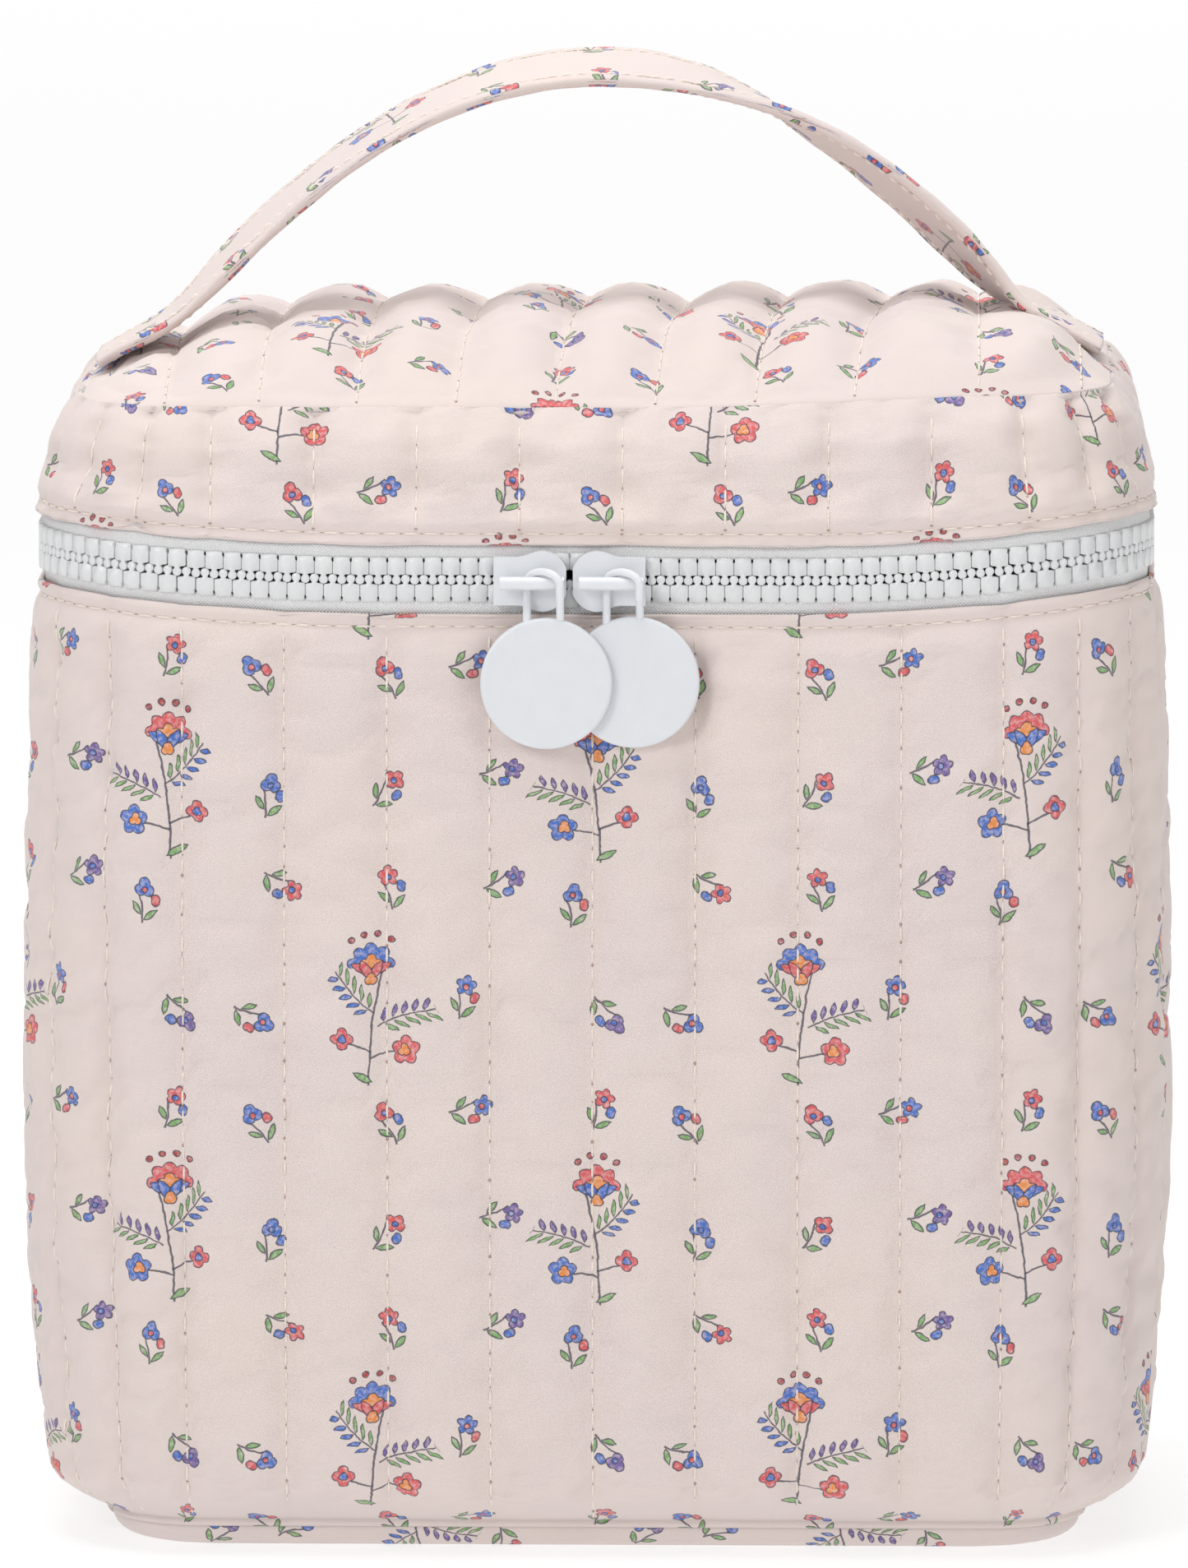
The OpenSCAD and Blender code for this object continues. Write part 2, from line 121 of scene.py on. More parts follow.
# outline of the bag
# a point of the inner skeleton and the outward direction, at a distance round the outline
def planAt(along):
    along = (np.asarray(along, float) + halfRound) % (2 * halfRound) - halfRound
    side = np.where(along < 0, -1.0, 1.0)
    d = np.abs(along)
    turn = np.where(
        d < cornerX, 0,
        np.where(d < cornerX + cornerArc, (d - cornerX) / cornerRadius,
                 np.where(d < frontEnd, math.pi / 2,
                          np.where(d < frontEnd + cornerArc, math.pi / 2 + (d - frontEnd) / cornerRadius,
                                   math.pi))))
    x = np.where(d < cornerX, d, np.where(d < frontEnd + cornerArc, cornerX, halfRound - d))
    y = np.where(d < cornerX + cornerArc, -cornerY,
                 np.where(d < frontEnd, d - cornerX - cornerArc - cornerY, cornerY))
    return side * x, y, side * np.sin(turn), -np.cos(turn)


def smooth(value, low, high):
    t = np.clip((np.asarray(value, float) - low) / (high - low), 0, 1)
    return t * t * (3 - 2 * t)


# smooth uneven swelling, about -0.5 to 0.5, with bumps of that size
def ripple(x, y, z, size, seed=0.0):
    flat = np.stack(np.broadcast_arrays(x, y, z), -1).reshape(-1, 3) / size + seed
    made = [noise.noise(Vector(p)) for p in flat.tolist()]
    return np.array(made).reshape(np.broadcast(x, y, z).shape)


# walls, lid and dome as the frame has them
def wallOut(z):
    low = np.clip(1 - (z - wallLow) / tuckHeight, 0, None)
    lean = np.clip((np.minimum(z, zipLow) - fullHeight) / (zipLow - fullHeight), 0, None)
    return baseTuck * low ** 3.4 + edgeInset * lean ** 2


# the puffed wall is squarer at its foot than the frame's plain curve
def quiltOut(z):
    low = np.clip(1 - (z - wallLow) / tuckHeight, 0, 1)
    foot = np.clip(1 - (z - wallLow) / quilt["footHeight"], 0, 1)
    lean = np.clip((np.minimum(z, zipLow) - fullHeight) / (zipLow - fullHeight), 0, None)
    return baseTuck * (0.32 * low ** 1.6 + 0.68 * foot ** 2) + edgeInset * lean ** 2


def bandOut(z):
    rise = np.clip((z - zipHigh) / (seamTop - zipHigh), 0, None)
    narrow = 0.3 * smooth(z, zipHigh, zipHigh + 4) + 3.1 * smooth(z, zipHigh + 3, zipHigh + 14)
    return edgeInset + narrow + (lidInset - edgeInset - 3.4) * rise ** 5


# how far a point lies from the middle (0) to a rounded outline (1)
def shareAt(x, y, inset):
    x, y = np.abs(x), np.abs(y)
    low, high = np.zeros_like(x), np.full_like(x, 1.3)
    for _ in range(24):
        share = (low + high) / 2
        gapX = np.clip(x - cornerX * share, 0, None)
        gapY = np.clip(y - cornerY * share, 0, None)
        outside = np.hypot(gapX, gapY) > (cornerRadius - inset) * share
        low, high = np.where(outside, share, low), np.where(outside, high, share)
    return (low + high) / 2


def domeHeight(share):
    return seamTop + (domeTop + dome["rise"] - seamTop) * (1 - np.clip(share, 0, 1) ** dome["power"])


# meshes
def makeMesh(name, points, faces, uv=None):
    mesh = bpy.data.meshes.new(name)
    mesh.from_pydata((np.asarray(points, float).reshape(-1, 3) * mm).tolist(), [], faces)
    if uv is not None:  # one pair for each point, in millimetres
        layer = mesh.uv_layers.new(name="cloth")
        corners = np.zeros(len(mesh.loops), np.int32)
        mesh.loops.foreach_get("vertex_index", corners)
        layer.data.foreach_set("uv", (np.asarray(uv, float).reshape(-1, 2)[corners] * mm).ravel())
    shell = bmesh.new()
    shell.from_mesh(mesh)
    bmesh.ops.recalc_face_normals(shell, faces=shell.faces)
    shell.to_mesh(mesh)
    shell.free()
    mesh.shade_smooth()
    piece = bpy.data.objects.new(name, mesh)
    scene.collection.objects.link(piece)
    return piece


# faces of a grid whose rows run round a closed outline and whose columns run along the piece
def tubeFaces(around, along, ring=False):
    last = along if ring else along - 1
    faces = [(i * along + j, i * along + (j + 1) % along,
              (i + 1) % around * along + (j + 1) % along, (i + 1) % around * along + j)
             for i in range(around) for j in range(last)]
    if not ring:
        faces.append([i * along for i in range(around)])
        faces.append([i * along + along - 1 for i in reversed(range(around))])
    return faces


# faces and two end caps of a closed tube, given as rings of points one after the other
def ringFaces(first, rings, around):
    faces = []
    for k in range(rings - 1):
        low = first + k * around
        faces += [(low + j, low + (j + 1) % around, low + around + (j + 1) % around, low + around + j)
                  for j in range(around)]
    last = first + (rings - 1) * around
    return faces + [[first + j for j in reversed(range(around))], [last + j for j in range(around)]]


# a finished piece: the body it moves with, its slot, which is not used, its material and the frame's part
# that it stands for
def placePiece(piece, body, slot, finish=None, node=None):
    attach(piece, body)
    if node:
        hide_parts(node)
    if finish:
        piece.data.materials.append(finish)


# columns between two ends, closer together beside each stitch line
def columnsBetween(start, end, lines, step=2.1):
    marks = [start, *sorted(x for x in lines if start + 1 < x < end - 1), end]
    made = [start]
    for a, b in zip(marks, marks[1:]):
        count = max(3, round((b - a) / step))
        t = np.arange(1, count + 1) / count
        made += list(a + (b - a) * (0.6 * t + 0.4 * (1 - np.cos(math.pi * t)) / 2))
    return np.array(made)


# place between the two stitch lines on either side, 0 to 1, and distance to the nearer line
def channelPlace(along, lines):
    lines = np.asarray(lines, float)
    after = np.clip(np.searchsorted(lines, along, side="right"), 1, len(lines) - 1)
    a, b = lines[after - 1], lines[after]
    share = np.clip((along - a) / (b - a), 0, 1)
    return share, np.minimum(along - a, b - along).clip(0)


# settling of the padded cloth
settle = {
    "frames": 14,
    "pressure": 1.5,
    "extra": 0.02,     # how much larger the cloth is cut than its frame
    "reach": 1.5,      # farthest that a point may move
    "stretch": 25,
    "shear": 8,
    "bend": 0.15,
    "mass": 0.15,
}


# lets the padding push the cloth out between its seams; held points stay, and no point moves far
def settleCloth(piece, held):
    group = piece.vertex_groups.new(name="held")
    group.add(np.flatnonzero(held).tolist(), 1.0, "REPLACE")
    cloth = piece.modifiers.new("settle", "CLOTH")
    cloth.settings.quality = 6
    cloth.settings.mass = settle["mass"]
    cloth.settings.tension_stiffness = cloth.settings.compression_stiffness = settle["stretch"]
    cloth.settings.shear_stiffness = settle["shear"]
    cloth.settings.bending_stiffness = settle["bend"]
    cloth.settings.use_pressure = True
    cloth.settings.uniform_pressure_force = settle["pressure"]
    cloth.settings.shrink_min = -settle["extra"]
    cloth.settings.vertex_group_mass = group.name
    cloth.settings.effector_weights.gravity = 0
    cloth.collision_settings.use_collision = False
    cloth.point_cache.frame_end = settle["frames"]
    before = np.array([v.co for v in piece.data.vertices])
    for number in range(1, settle["frames"] + 1):
        scene.frame_set(number)
    after = np.empty(len(before) * 3)
    settled = piece.evaluated_get(bpy.context.evaluated_depsgraph_get())
    settled.data.vertices.foreach_get("co", after)
    piece.modifiers.remove(cloth)
    piece.vertex_groups.remove(group)
    scene.frame_set(1)
    move = np.nan_to_num(after.reshape(-1, 3) - before)
    far = np.linalg.norm(move, axis=1, keepdims=True)
    reach = settle["reach"] * mm
    move *= reach * np.tanh(far / reach) / np.maximum(far, 1e-9)
    piece.data.vertices.foreach_set("co", (before + move).ravel())
    piece.data.update()
    print(piece.name, "settled, mean move in mm", round(float(far.mean() / mm), 2))


# quilting
def evenLines(start, end, step, offset=0.0):
    first = math.ceil((start - offset) / step)
    last = math.floor((end - offset) / step)
    return [offset + k * step for k in range(first, last + 1)]


# stitch lines all round, the same to the left as to the right of the front's middle
def roundLines():
    front = [quilt["channel"] * k for k in range(5)]
    corner = [front[-1] + quilt["cornerChannel"] * k for k in (1, 2, 3)]
    rest = 2 * (halfRound - corner[-1])
    count = round(rest / quilt["channel"])
    right = front + corner + [corner[-1] + rest * k / count for k in range(1, count)]
    right += [2 * halfRound - x for x in corner]
    return sorted([-x for x in right if x > 0] + right)


# how far the puffed face stands out from the frame's face; negative at the stitch lines
def wallRelief(along, z, lines, low, high, seed):
    share, gap = channelPlace(along, lines)
    puff = 1 - np.abs(2 * share - 1) ** 3
    calm = smooth(z, low, low + 9) * (1 - smooth(z, high - 13, high - quilt["hem"]))
    depth = quilt["puff"] * (0.3 + 0.7 * calm) * (1 + 0.5 * ripple(along, z, 0, quilt["uneven"], seed))
    lift = -depth * (1 - puff)
    height, size = quilt["swell"]
    lift = lift + height * ripple(along, z * 0.4, 0, size, seed + 3)
    height, size = quilt["pucker"]
    lift = lift + height * np.exp(-gap / quilt["puckerReach"]) * ripple(along * 0.35, z, 0, size, seed + 9)
    height, size = quilt["crease"]
    lift = lift + height * ripple(along * 0.3, z, 0, size, seed + 17) * (0.3 + 0.7 * (1 - calm))
    hem = high - quilt["hem"]
    sink, width = quilt["hemSink"]
    lift = lift - sink * np.exp(-((z - hem) / width) ** 2) - 0.7 * smooth(z, hem - 7, hem)
    return np.minimum(lift, 0.5)


# how much higher the zip lies at the corners than at the front's middle, where the pulls hang
def zipRise(along, z):
    d = np.abs(along)
    rise = np.where(along > 0, zipLine["rightRise"], zipLine["leftRise"])
    rise = rise * smooth(d, 45, cornerX + 0.8 * cornerArc)
    rise = rise * (1 - smooth(d, cornerX + cornerArc + 15, frontEnd - 12))
    return rise * smooth(z, 95, zipLow) * (1 - smooth(z, zipHigh, seamTop))


# how much the lid stands higher towards its right end
def lidLean(x):
    return lidRise * smooth(x, 10, halfWide - lidInset)


# points of a wall lifted off its face; slope is how much its inset grows for each step up
def wallPoints(along, inset, z, lift, slopeIn, slopeUp):
    x, y, nx, ny = planAt(along)
    size = np.hypot(slopeIn, slopeUp)
    reach = cornerRadius - inset + lift * np.abs(slopeUp) / size
    up = z + lift * slopeIn / size + zipRise(along, z) + lidLean(x) * smooth(z, zipHigh, seamTop)
    return np.stack(np.broadcast_arrays(x + nx * reach, y + ny * reach, up), -1)


# a closed wall: its profile is a loop of inset, height and how far it is puffed
def wallPanel(name, profile, columns, relief, uvFrom=(0, 0), ring=False, lines=None, hem=None):
    inset, z, free = (np.array(p, float)[:, None] for p in zip(*profile))
    along = columns[None, :]
    step = np.gradient(inset, axis=0), np.gradient(z, axis=0)
    points = wallPoints(along, inset, z, relief(along, z) * free, *step)
    length = np.concatenate([[0], np.cumsum(np.hypot(np.diff(inset[:, 0]), np.diff(z[:, 0])))])
    uv = np.stack(np.broadcast_arrays(along + uvFrom[0], length[:, None] + uvFrom[1]), -1)
    piece = makeMesh(name, points, tubeFaces(*points.shape[:2], ring), uv)
    if lines is not None:
        held = (free < 0.9) | (channelPlace(along, lines)[1] < 0.4) | (np.abs(z - hem) < 1.7)
        held = held | (np.abs(along - columns[0]) < 3) | (np.abs(along - columns[-1]) < 3)
        settleCloth(piece, held.ravel())
        keepBehindDiscs(piece)
    return piece


# keeps the cloth behind the discs, wherever the sliders are
def keepBehindDiscs(piece):
    low, high = cad("pull_disc_left")[0] - 4, cad("pull_disc_right")[1] + 4
    points = np.array([v.co for v in piece.data.vertices]) / mm
    near = (points[:, 0] > low[0] - sliderTravel) & (points[:, 0] < high[0] + sliderTravel)
    near = near & (points[:, 2] > low[2]) & (points[:, 2] < zipLow) & (points[:, 1] < 0)
    points[near, 1] = np.maximum(points[near, 1], cad("pull_disc_right")[1][1] + 0.35)
    piece.data.vertices.foreach_set("co", (points * mm).ravel())
    piece.data.update()


bodyStitchLines = roundLines()


def bodyRelief(along, z):
    return wallRelief(along, z, bodyStitchLines, wallLow, zipLow, 2.0)


def noRelief(along, z):
    return 0 * (along + z)


# profile points round a folded edge, from the outer face to the inner one
def foldedEdge(z, outInset, inInset, swell):
    middle, half = (outInset + inInset) / 2, (inInset - outInset) / 2
    return [(middle - half * math.cos(a), z + swell * math.sin(a), 0.5 * (1 + math.cos(a)))
            for a in np.linspace(0, math.pi, 8)[1:]]


# heights of a wall's rows, closer together at its foot and beside its topstitching
def wallRows(low, high, hem):
    t = np.linspace(0, 1, 90)
    rows = low + (high - low) * (0.55 * t + 0.45 * (1 - np.cos(math.pi * t)) / 2)
    beside = hem + np.array([-1.6, -0.8, 0, 0.8, 1.6])
    return np.sort(np.concatenate([rows[np.abs(rows - hem) > 2.2], beside]))


def buildBodyQuilt():
    hem = [(baseTuck + 0.9, wallLow - 0.6, 0), (baseTuck + 0.7, wallLow - 1.7, 0),
           (baseTuck + 0.1, wallLow - 1.3, 0), (baseTuck - 0.2, wallLow - 0.6, 0)]
    outer = [(quiltOut(z), z, min(1, 0.15 + (z - wallLow) / 7))
             for z in wallRows(wallLow, zipLow - fold, zipLow - quilt["hem"])]
    inner = [(wallOut(z) + quilt["thickness"], z, 0) for z in np.linspace(zipLow - 10, wallLow, 12)]
    edge = foldedEdge(zipLow - fold, edgeInset, tapeInset - 0.2, fold)
    front = outer + edge + [(tapeInset - 0.2, zipLow - 6.4, 0)]
    columns = columnsBetween(-frontEnd, frontEnd, bodyStitchLines)
    wrap = wallPanel("quilt_wrap", hem + front + inner, columns, bodyRelief, (11, 30),
                     lines=bodyStitchLines, hem=zipLow - quilt["hem"])
    backHigh = cad("back_panel")[1][2]
    outer = [(quiltOut(z), z, min(1, 0.15 + (z - wallLow) / 7))
             for z in wallRows(wallLow, backHigh - 1.5, backHigh - 6)]
    back = outer + foldedEdge(backHigh - 1.5, edgeInset, edgeInset + quilt["thickness"] - 0.2, 1.5)
    columns = columnsBetween(frontEnd, 2 * halfRound - frontEnd, bodyStitchLines)
    panel = wallPanel("quilt_back", hem + back + inner, columns, bodyRelief, (47, 12),
                      lines=bodyStitchLines, hem=backHigh - 2)
    for piece, node in ((wrap, "body_wrap"), (panel, "back_panel")):
        placePiece(piece, "body", "quilt", printedCloth, node)


# stitches
# thread segments with a needle hole between each two, darkened with painted shade; runs hold points and
# outward directions
def stitchPiece(name, runs, pitch=quilt["stitchLength"], radius=quilt["threadRadius"]):
    rings, sides = np.linspace(-1, 1, 6), 6
    turn = np.arange(sides) * 2 * math.pi / sides
    points, faces, finish = [], [], []

    def at(distance, length, values):
        return np.stack([np.interp(distance, length, values[:, k]) for k in range(3)], -1)

    for place, out in runs:
        place, out = np.asarray(place, float), np.asarray(out, float)
        length = np.concatenate([[0], np.cumsum(np.linalg.norm(np.diff(place, axis=0), axis=1))])
        count = max(1, int(length[-1] / pitch))
        gap = length[-1] / count
        for i in range(count):
            middle, normal = at((i + 0.5) * gap, length, place), at((i + 0.5) * gap, length, out)
            ahead = at((i + 0.95) * gap, length, place) - at((i + 0.05) * gap, length, place)
            ahead /= np.linalg.norm(ahead)
            normal /= np.linalg.norm(normal)
            beside = np.cross(ahead, normal)
            first = len(points)
            for r in rings:
                thick = radius * math.sqrt(max(0.02, 1 - abs(r) ** 3))
                centre = middle + ahead * r * gap * 0.41 + normal * radius * (0.75 - 1.1 * r * r)
                points += [centre + thick * (beside * math.cos(a) + normal * math.sin(a)) for a in turn]
            faces += ringFaces(first, len(rings), sides)
            finish += [0] * ((len(rings) - 1) * sides + 2)
            # each needle hole is a small sunk cone in a dark tan, the painted shade of the pit
            hole, first = at(i * gap, length, place) + at(i * gap, length, out) * 0.05, len(points)
            points += [hole + 1.35 * radius * (ahead * math.cos(a) + beside * math.sin(a)) for a in turn]
            points.append(hole - normal * 0.3)
            faces += [(first + j, first + (j + 1) % sides, first + sides) for j in range(sides)]
            faces.append([first + j for j in reversed(range(sides))])
            finish += [1] * (sides + 1)
    piece = makeMesh(name, points, faces)
    piece.data.materials.append(thread)
    piece.data.materials.append(needleHoleShade)
    piece.data.polygons.foreach_set("material_index", finish)
    return piece


# a run of points across a wall, with the directions in which it faces
def wallRun(along, z, outFn, relief):
    along, z = np.broadcast_arrays(np.asarray(along, float), np.asarray(z, float))
    nx, ny = planAt(along)[2:]
    slope = outFn(z + 0.5) - outFn(z - 0.5)
    return wallPoints(along, outFn(z), z, relief(along, z), slope, 1 + 0 * z), np.stack([nx, ny, slope], -1)


def stitchBody():
    z = np.arange(wallLow + 1, zipLow - quilt["hem"] - 1, 1.0)
    runs = [wallRun(x, z, quiltOut, bodyRelief) for x in bodyStitchLines if -halfRound < x < halfRound]
    along = np.arange(-frontEnd + 1, frontEnd - 1, 1.0)
    runs.append(wallRun(along, zipLow - quilt["hem"], quiltOut, bodyRelief))
    placePiece(stitchPiece("stitches_body", runs), "body", "quilt")


# lid
lidStitchLines = [x + 6.1 for x in roundLines()]


def lidRelief(along, z):
    return wallRelief(along, 2 * zipHigh - z, lidStitchLines, 2 * zipHigh - seamTop - 4, zipHigh, 31.0)


def buildLidBand():
    wall = quilt["bandThickness"]
    seam = [(lidInset, seamTop, 0.2), (lidInset + 1.2, seamTop - 0.6, 0)]
    hem = zipHigh + quilt["hem"]
    rows = np.concatenate([[zipHigh + fold], hem + np.array([-0.8, 0, 0.8, 1.6]),
                           np.linspace(hem + 2.6, seamTop - 0.4, 26)])
    outer = [(bandOut(z), z, 1) for z in rows] + seam
    inner = [(bandOut(z) + wall, z, 0) for z in np.linspace(seamTop - 6, zipHigh + 6.5, 6)]
    lowEdge = [(i, 2 * (zipHigh + fold) - z, w) for i, z, w in
               foldedEdge(zipHigh + fold, float(bandOut(zipHigh + fold)), tapeInset - 0.2, fold)][::-1]
    columns = columnsBetween(-frontEnd, frontEnd, lidStitchLines)
    band = wallPanel("quilt_lid_band", lowEdge + outer + inner, columns, lidRelief, (30, 208),
                     lines=lidStitchLines, hem=hem)
    backLow = cad("lid_back_panel")[0][2]
    outer = [(bandOut(z), z, 1) for z in np.linspace(backLow + 1.5, seamTop - 0.4, 30)] + seam
    lowEdge = [(i, 2 * (backLow + 1.5) - z, w) for i, z, w in
               foldedEdge(backLow + 1.5, float(bandOut(zipHigh)), edgeInset + wall, 1.5)][::-1]
    columns = columnsBetween(frontEnd, 2 * halfRound - frontEnd, lidStitchLines)
    back = wallPanel("quilt_lid_back", lowEdge + outer + inner, columns, lidRelief, (66, 190),
                     lines=lidStitchLines, hem=backLow + 2)
    for piece, node in ((band, "lid_gusset"), (back, "lid_back_panel")):
        placePiece(piece, "lid", "quilt", printedCloth, node)


topQuilt = {
    "channel": 21.1,
    "depth": 3.2,
    "lean": 8.5,          # how far the channels lean, front to back
    "fan": 0.055,
    "rightRise": 3.0,     # how much higher it is puffed at its right end
    "swell": (1.4, 30),   # height and size, as for the walls
    "pucker": (1.2, 6),
    "puckerReach": 5,
    "crease": (0.9, 9),
}
topLines = evenLines(-110, 110, topQuilt["channel"], -4.5)


# the lid's top, lifted at each channel and drawn down to the seam
def topRelief(x, y, share):
    place, gap = channelPlace(x, topLines)
    puff = 1 - np.abs(2 * place - 1) ** 2.5
    calm = 1 - smooth(share, 0.78, 0.99)
    depth = topQuilt["depth"] * (0.15 + 0.85 * calm) * (1 + 0.5 * ripple(x, y, 0, 30, 41))
    height, size = topQuilt["swell"]
    lift = -depth * (1 - puff) + height * ripple(x * 0.5, y, 0, size, 44)
    height, size = topQuilt["pucker"]
    lift = lift + height * np.exp(-gap / topQuilt["puckerReach"]) * ripple(x * 0.4, y, 0, size, 47)
    height, size = topQuilt["crease"]
    lift = lift + height * ripple(x * 0.3, y, 0, size, 53) * (1 - calm) - 0.9
    lift = lift + topQuilt["rightRise"] * smooth(x, 55, 96) * (1 - smooth(share, 0.88, 1))
    return lift * (1 - smooth(share, 0.95, 1)) - 0.5 * smooth(share, 0.97, 1)


# how far a quilting line has moved sideways at a depth, as the top's channels lean and fan out
def topLean(x, y):
    move = topQuilt["lean"] + topQuilt["fan"] * x
    return move * (y / (2 * halfDeep)) * (1 - smooth(np.abs(x), 62, cornerX))


def flatColumns(inset, lines):
    end = halfWide - inset
    return columnsBetween(-end, end, lines + [-end + 1.5, -end + 5, end - 5, end - 1.5], 2.3)


# half the depth of the rounded outline at each x
def outlineDepth(x, inset):
    radius = cornerRadius - inset
    return cornerY + np.sqrt(np.clip(radius ** 2 - np.clip(np.abs(x) - cornerX, 0, None) ** 2, 0, None))


# a closed quilted plate; its faces are heights over x, y and the share of the way to its edge
def platePanel(name, inset, lines, upper, lower, rows=56, uvFrom=(0, 0), lean=None):
    x = flatColumns(inset, lines)[None, :]
    t = np.sin(np.linspace(-1, 1, rows) * math.pi / 2 * 0.86) / math.sin(math.pi / 2 * 0.86)
    y = t[:, None] * outlineDepth(x, inset)
    x = np.broadcast_to(x, y.shape)
    moved = x + lean(x, y) if lean else x
    share = shareAt(moved, y, inset)
    faces = [np.stack([moved, y, upper(x, y, share)], -1), np.stack([moved, y, lower(x, y, share)], -1)[::-1]]
    points = np.concatenate(faces)
    shift = np.concatenate([np.zeros(rows), np.full(rows, 200.0)])[:, None]
    drop = np.concatenate([np.abs(face[..., 2] - face[rows // 2, :, 2]) for face in faces])
    slide = np.clip(points[..., 1] / 40, -1, 1) * drop
    uv = np.stack([points[..., 0] + uvFrom[0], points[..., 1] + slide + uvFrom[1] + shift], -1)
    count, along = points.shape[:2]
    quads = tubeFaces(count, along)[:-2]
    for edge in (0, along - 1):
        quads += [(i * along + edge, (i + 1) * along + edge,
                   (count - 2 - i) * along + edge, (count - 1 - i) * along + edge) for i in range(rows - 1)]
    piece = makeMesh(name, points, quads, uv)
    if lean:
        rim = (share > 0.96) | (channelPlace(x, lines)[1] < 0.4)
        settleCloth(piece, np.concatenate([rim, np.ones_like(rim)]).ravel())
    return piece


def buildLidTop():
    def upper(x, y, share):
        return domeHeight(share) + topRelief(x, y, share) + lidLean(x)

    def lower(x, y, share):
        return domeHeight(share) - 8 + 4.3 * share ** 3 + lidLean(x)

    piece = platePanel("quilt_lid_top", lidInset + 0.3, topLines, upper, lower, 64, (20, 5), topLean)
    placePiece(piece, "lid", "quilt", printedCloth, "lid_top_panel")
    runs = []
    for line in [x for x in topLines if abs(x) < halfWide - lidInset - 4]:
        depth = float(outlineDepth(line, lidInset)) - 1.5
        y = np.arange(-depth, depth, 1.0)
        x = np.full_like(y, line)
        moved = x + topLean(x, y)
        runs.append((np.stack([moved, y, upper(x, y, shareAt(moved, y, lidInset + 0.3))], -1),
                     np.tile([0, 0, 1.0], (len(y), 1))))
    z = np.arange(zipHigh + quilt["hem"] + 1, seamTop - 1.5, 1.0)
    runs += [wallRun(x, z, bandOut, lidRelief) for x in lidStitchLines if -halfRound < x < halfRound]
    along = np.arange(-frontEnd + 1, frontEnd - 1, 1.0)
    runs.append(wallRun(along, zipHigh + quilt["hem"], bandOut, lidRelief))
    placePiece(stitchPiece("stitches_lid", runs), "lid", "quilt")


def buildBase():
    inset = halfWide - baseHigh[0] + 0.6
    lines = evenLines(-100, 100, quilt["channel"])

    def upper(x, y, share):
        return baseHigh[2] + 0 * x

    def lower(x, y, share):
        place = channelPlace(x, lines)[0]
        dent = 0.9 * np.abs(2 * place - 1) ** 3 * (1 - smooth(share, 0.8, 0.94))
        turn = np.clip((share - 0.955) / 0.045, 0, 1)
        return dent + 4.9 * (1 - np.sqrt(1 - turn ** 2))

    piece = platePanel("quilt_base", inset, lines, upper, lower, 44, (3, 9))
    placePiece(piece, "body", "quilt", printedCloth, "base_panel")


# lining
lining = {
    "thickness": 0.9,
    "crease": 0.7,
    "inBody": quilt["thickness"] + 0.5,   # in from the wall's face
    "inLid": 5.6,
    "ceilingEdge": 4.6,                   # how far its edge lies below the lid's seam
}


def liningRelief(along, z):
    crease = ripple(along * 0.4, z, 0, 12, 71) + 0.6 * ripple(along, z * 0.5, 0, 26, 75)
    return lining["crease"] * np.minimum(crease, 0.25) - 0.2


# a cloth loop that hangs inside a wall; insets come from a function of height
def liningLoop(name, low, high, insetAt, node, body):
    zs = np.linspace(low, high, 34)
    thick = lining["thickness"]
    profile = [(insetAt(z), z, -1) for z in zs] + [(insetAt(z) + thick, z, -1) for z in zs[::-1]]
    columns = np.linspace(-halfRound, halfRound, 261)[:-1]
    piece = wallPanel(name, profile, columns, liningRelief, ring=True)
    placePiece(piece, body, "lining", liningCloth, node)
    return piece


def bodyLining(z):
    return wallOut(z) + lining["inBody"]


def bandLining(z):
    return bandOut(z) + lining["inLid"]


def buildLining():
    gap = lining["inBody"]
    low, high = cad("body_lining_wall")[0][2], cad("body_lining_wall")[1][2]
    wall = liningLoop("lining_walls", low, high, bodyLining, "body_lining_wall", "body")
    2 * (halfRound - 4 * gap) * mm
    (high - low + 4) * mm
    low, high = cad("lid_lining_band")[0][2], seamTop - lining["ceilingEdge"]
    band = liningLoop("lining_lid_band", low, high, bandLining, "lid_lining_band", "lid")
    around = 2 * halfRound - 2 * math.pi * float(bandLining((low + high) / 2))
    around * mm
    (high - low + 1.5) * mm

    floorLow, floorHigh = cad("body_lining_base")

    def floorUp(x, y, share):
        return floorHigh[2] - 0.15 + 0.6 * np.minimum(ripple(x, y, 0, 24, 81), 0.2) * (1 - share ** 4)

    def floorDown(x, y, share):
        return floorLow[2] + 0 * x

    inset = halfWide - floorHigh[0]
    piece = platePanel("lining_floor", inset, [], floorUp, floorDown, 40)
    placePiece(piece, "body", "lining", liningCloth, "body_lining_base")

    inset = float(bandLining(seamTop - lining["ceilingEdge"])) + 0.4

    def ceilingUp(x, y, share):
        return domeHeight(share) - 8.4 + 4.3 * share ** 3 + lidLean(x)

    def ceilingDown(x, y, share):
        return ceilingUp(x, y, share) - lining["thickness"] + 0.7 * np.minimum(ripple(x, y, 0, 22, 85), 0.1)

    piece = platePanel("lining_lid_top", inset, [], ceilingUp, ceilingDown, 40)
    placePiece(piece, "lid", "lining", liningCloth, "lid_lining_top")


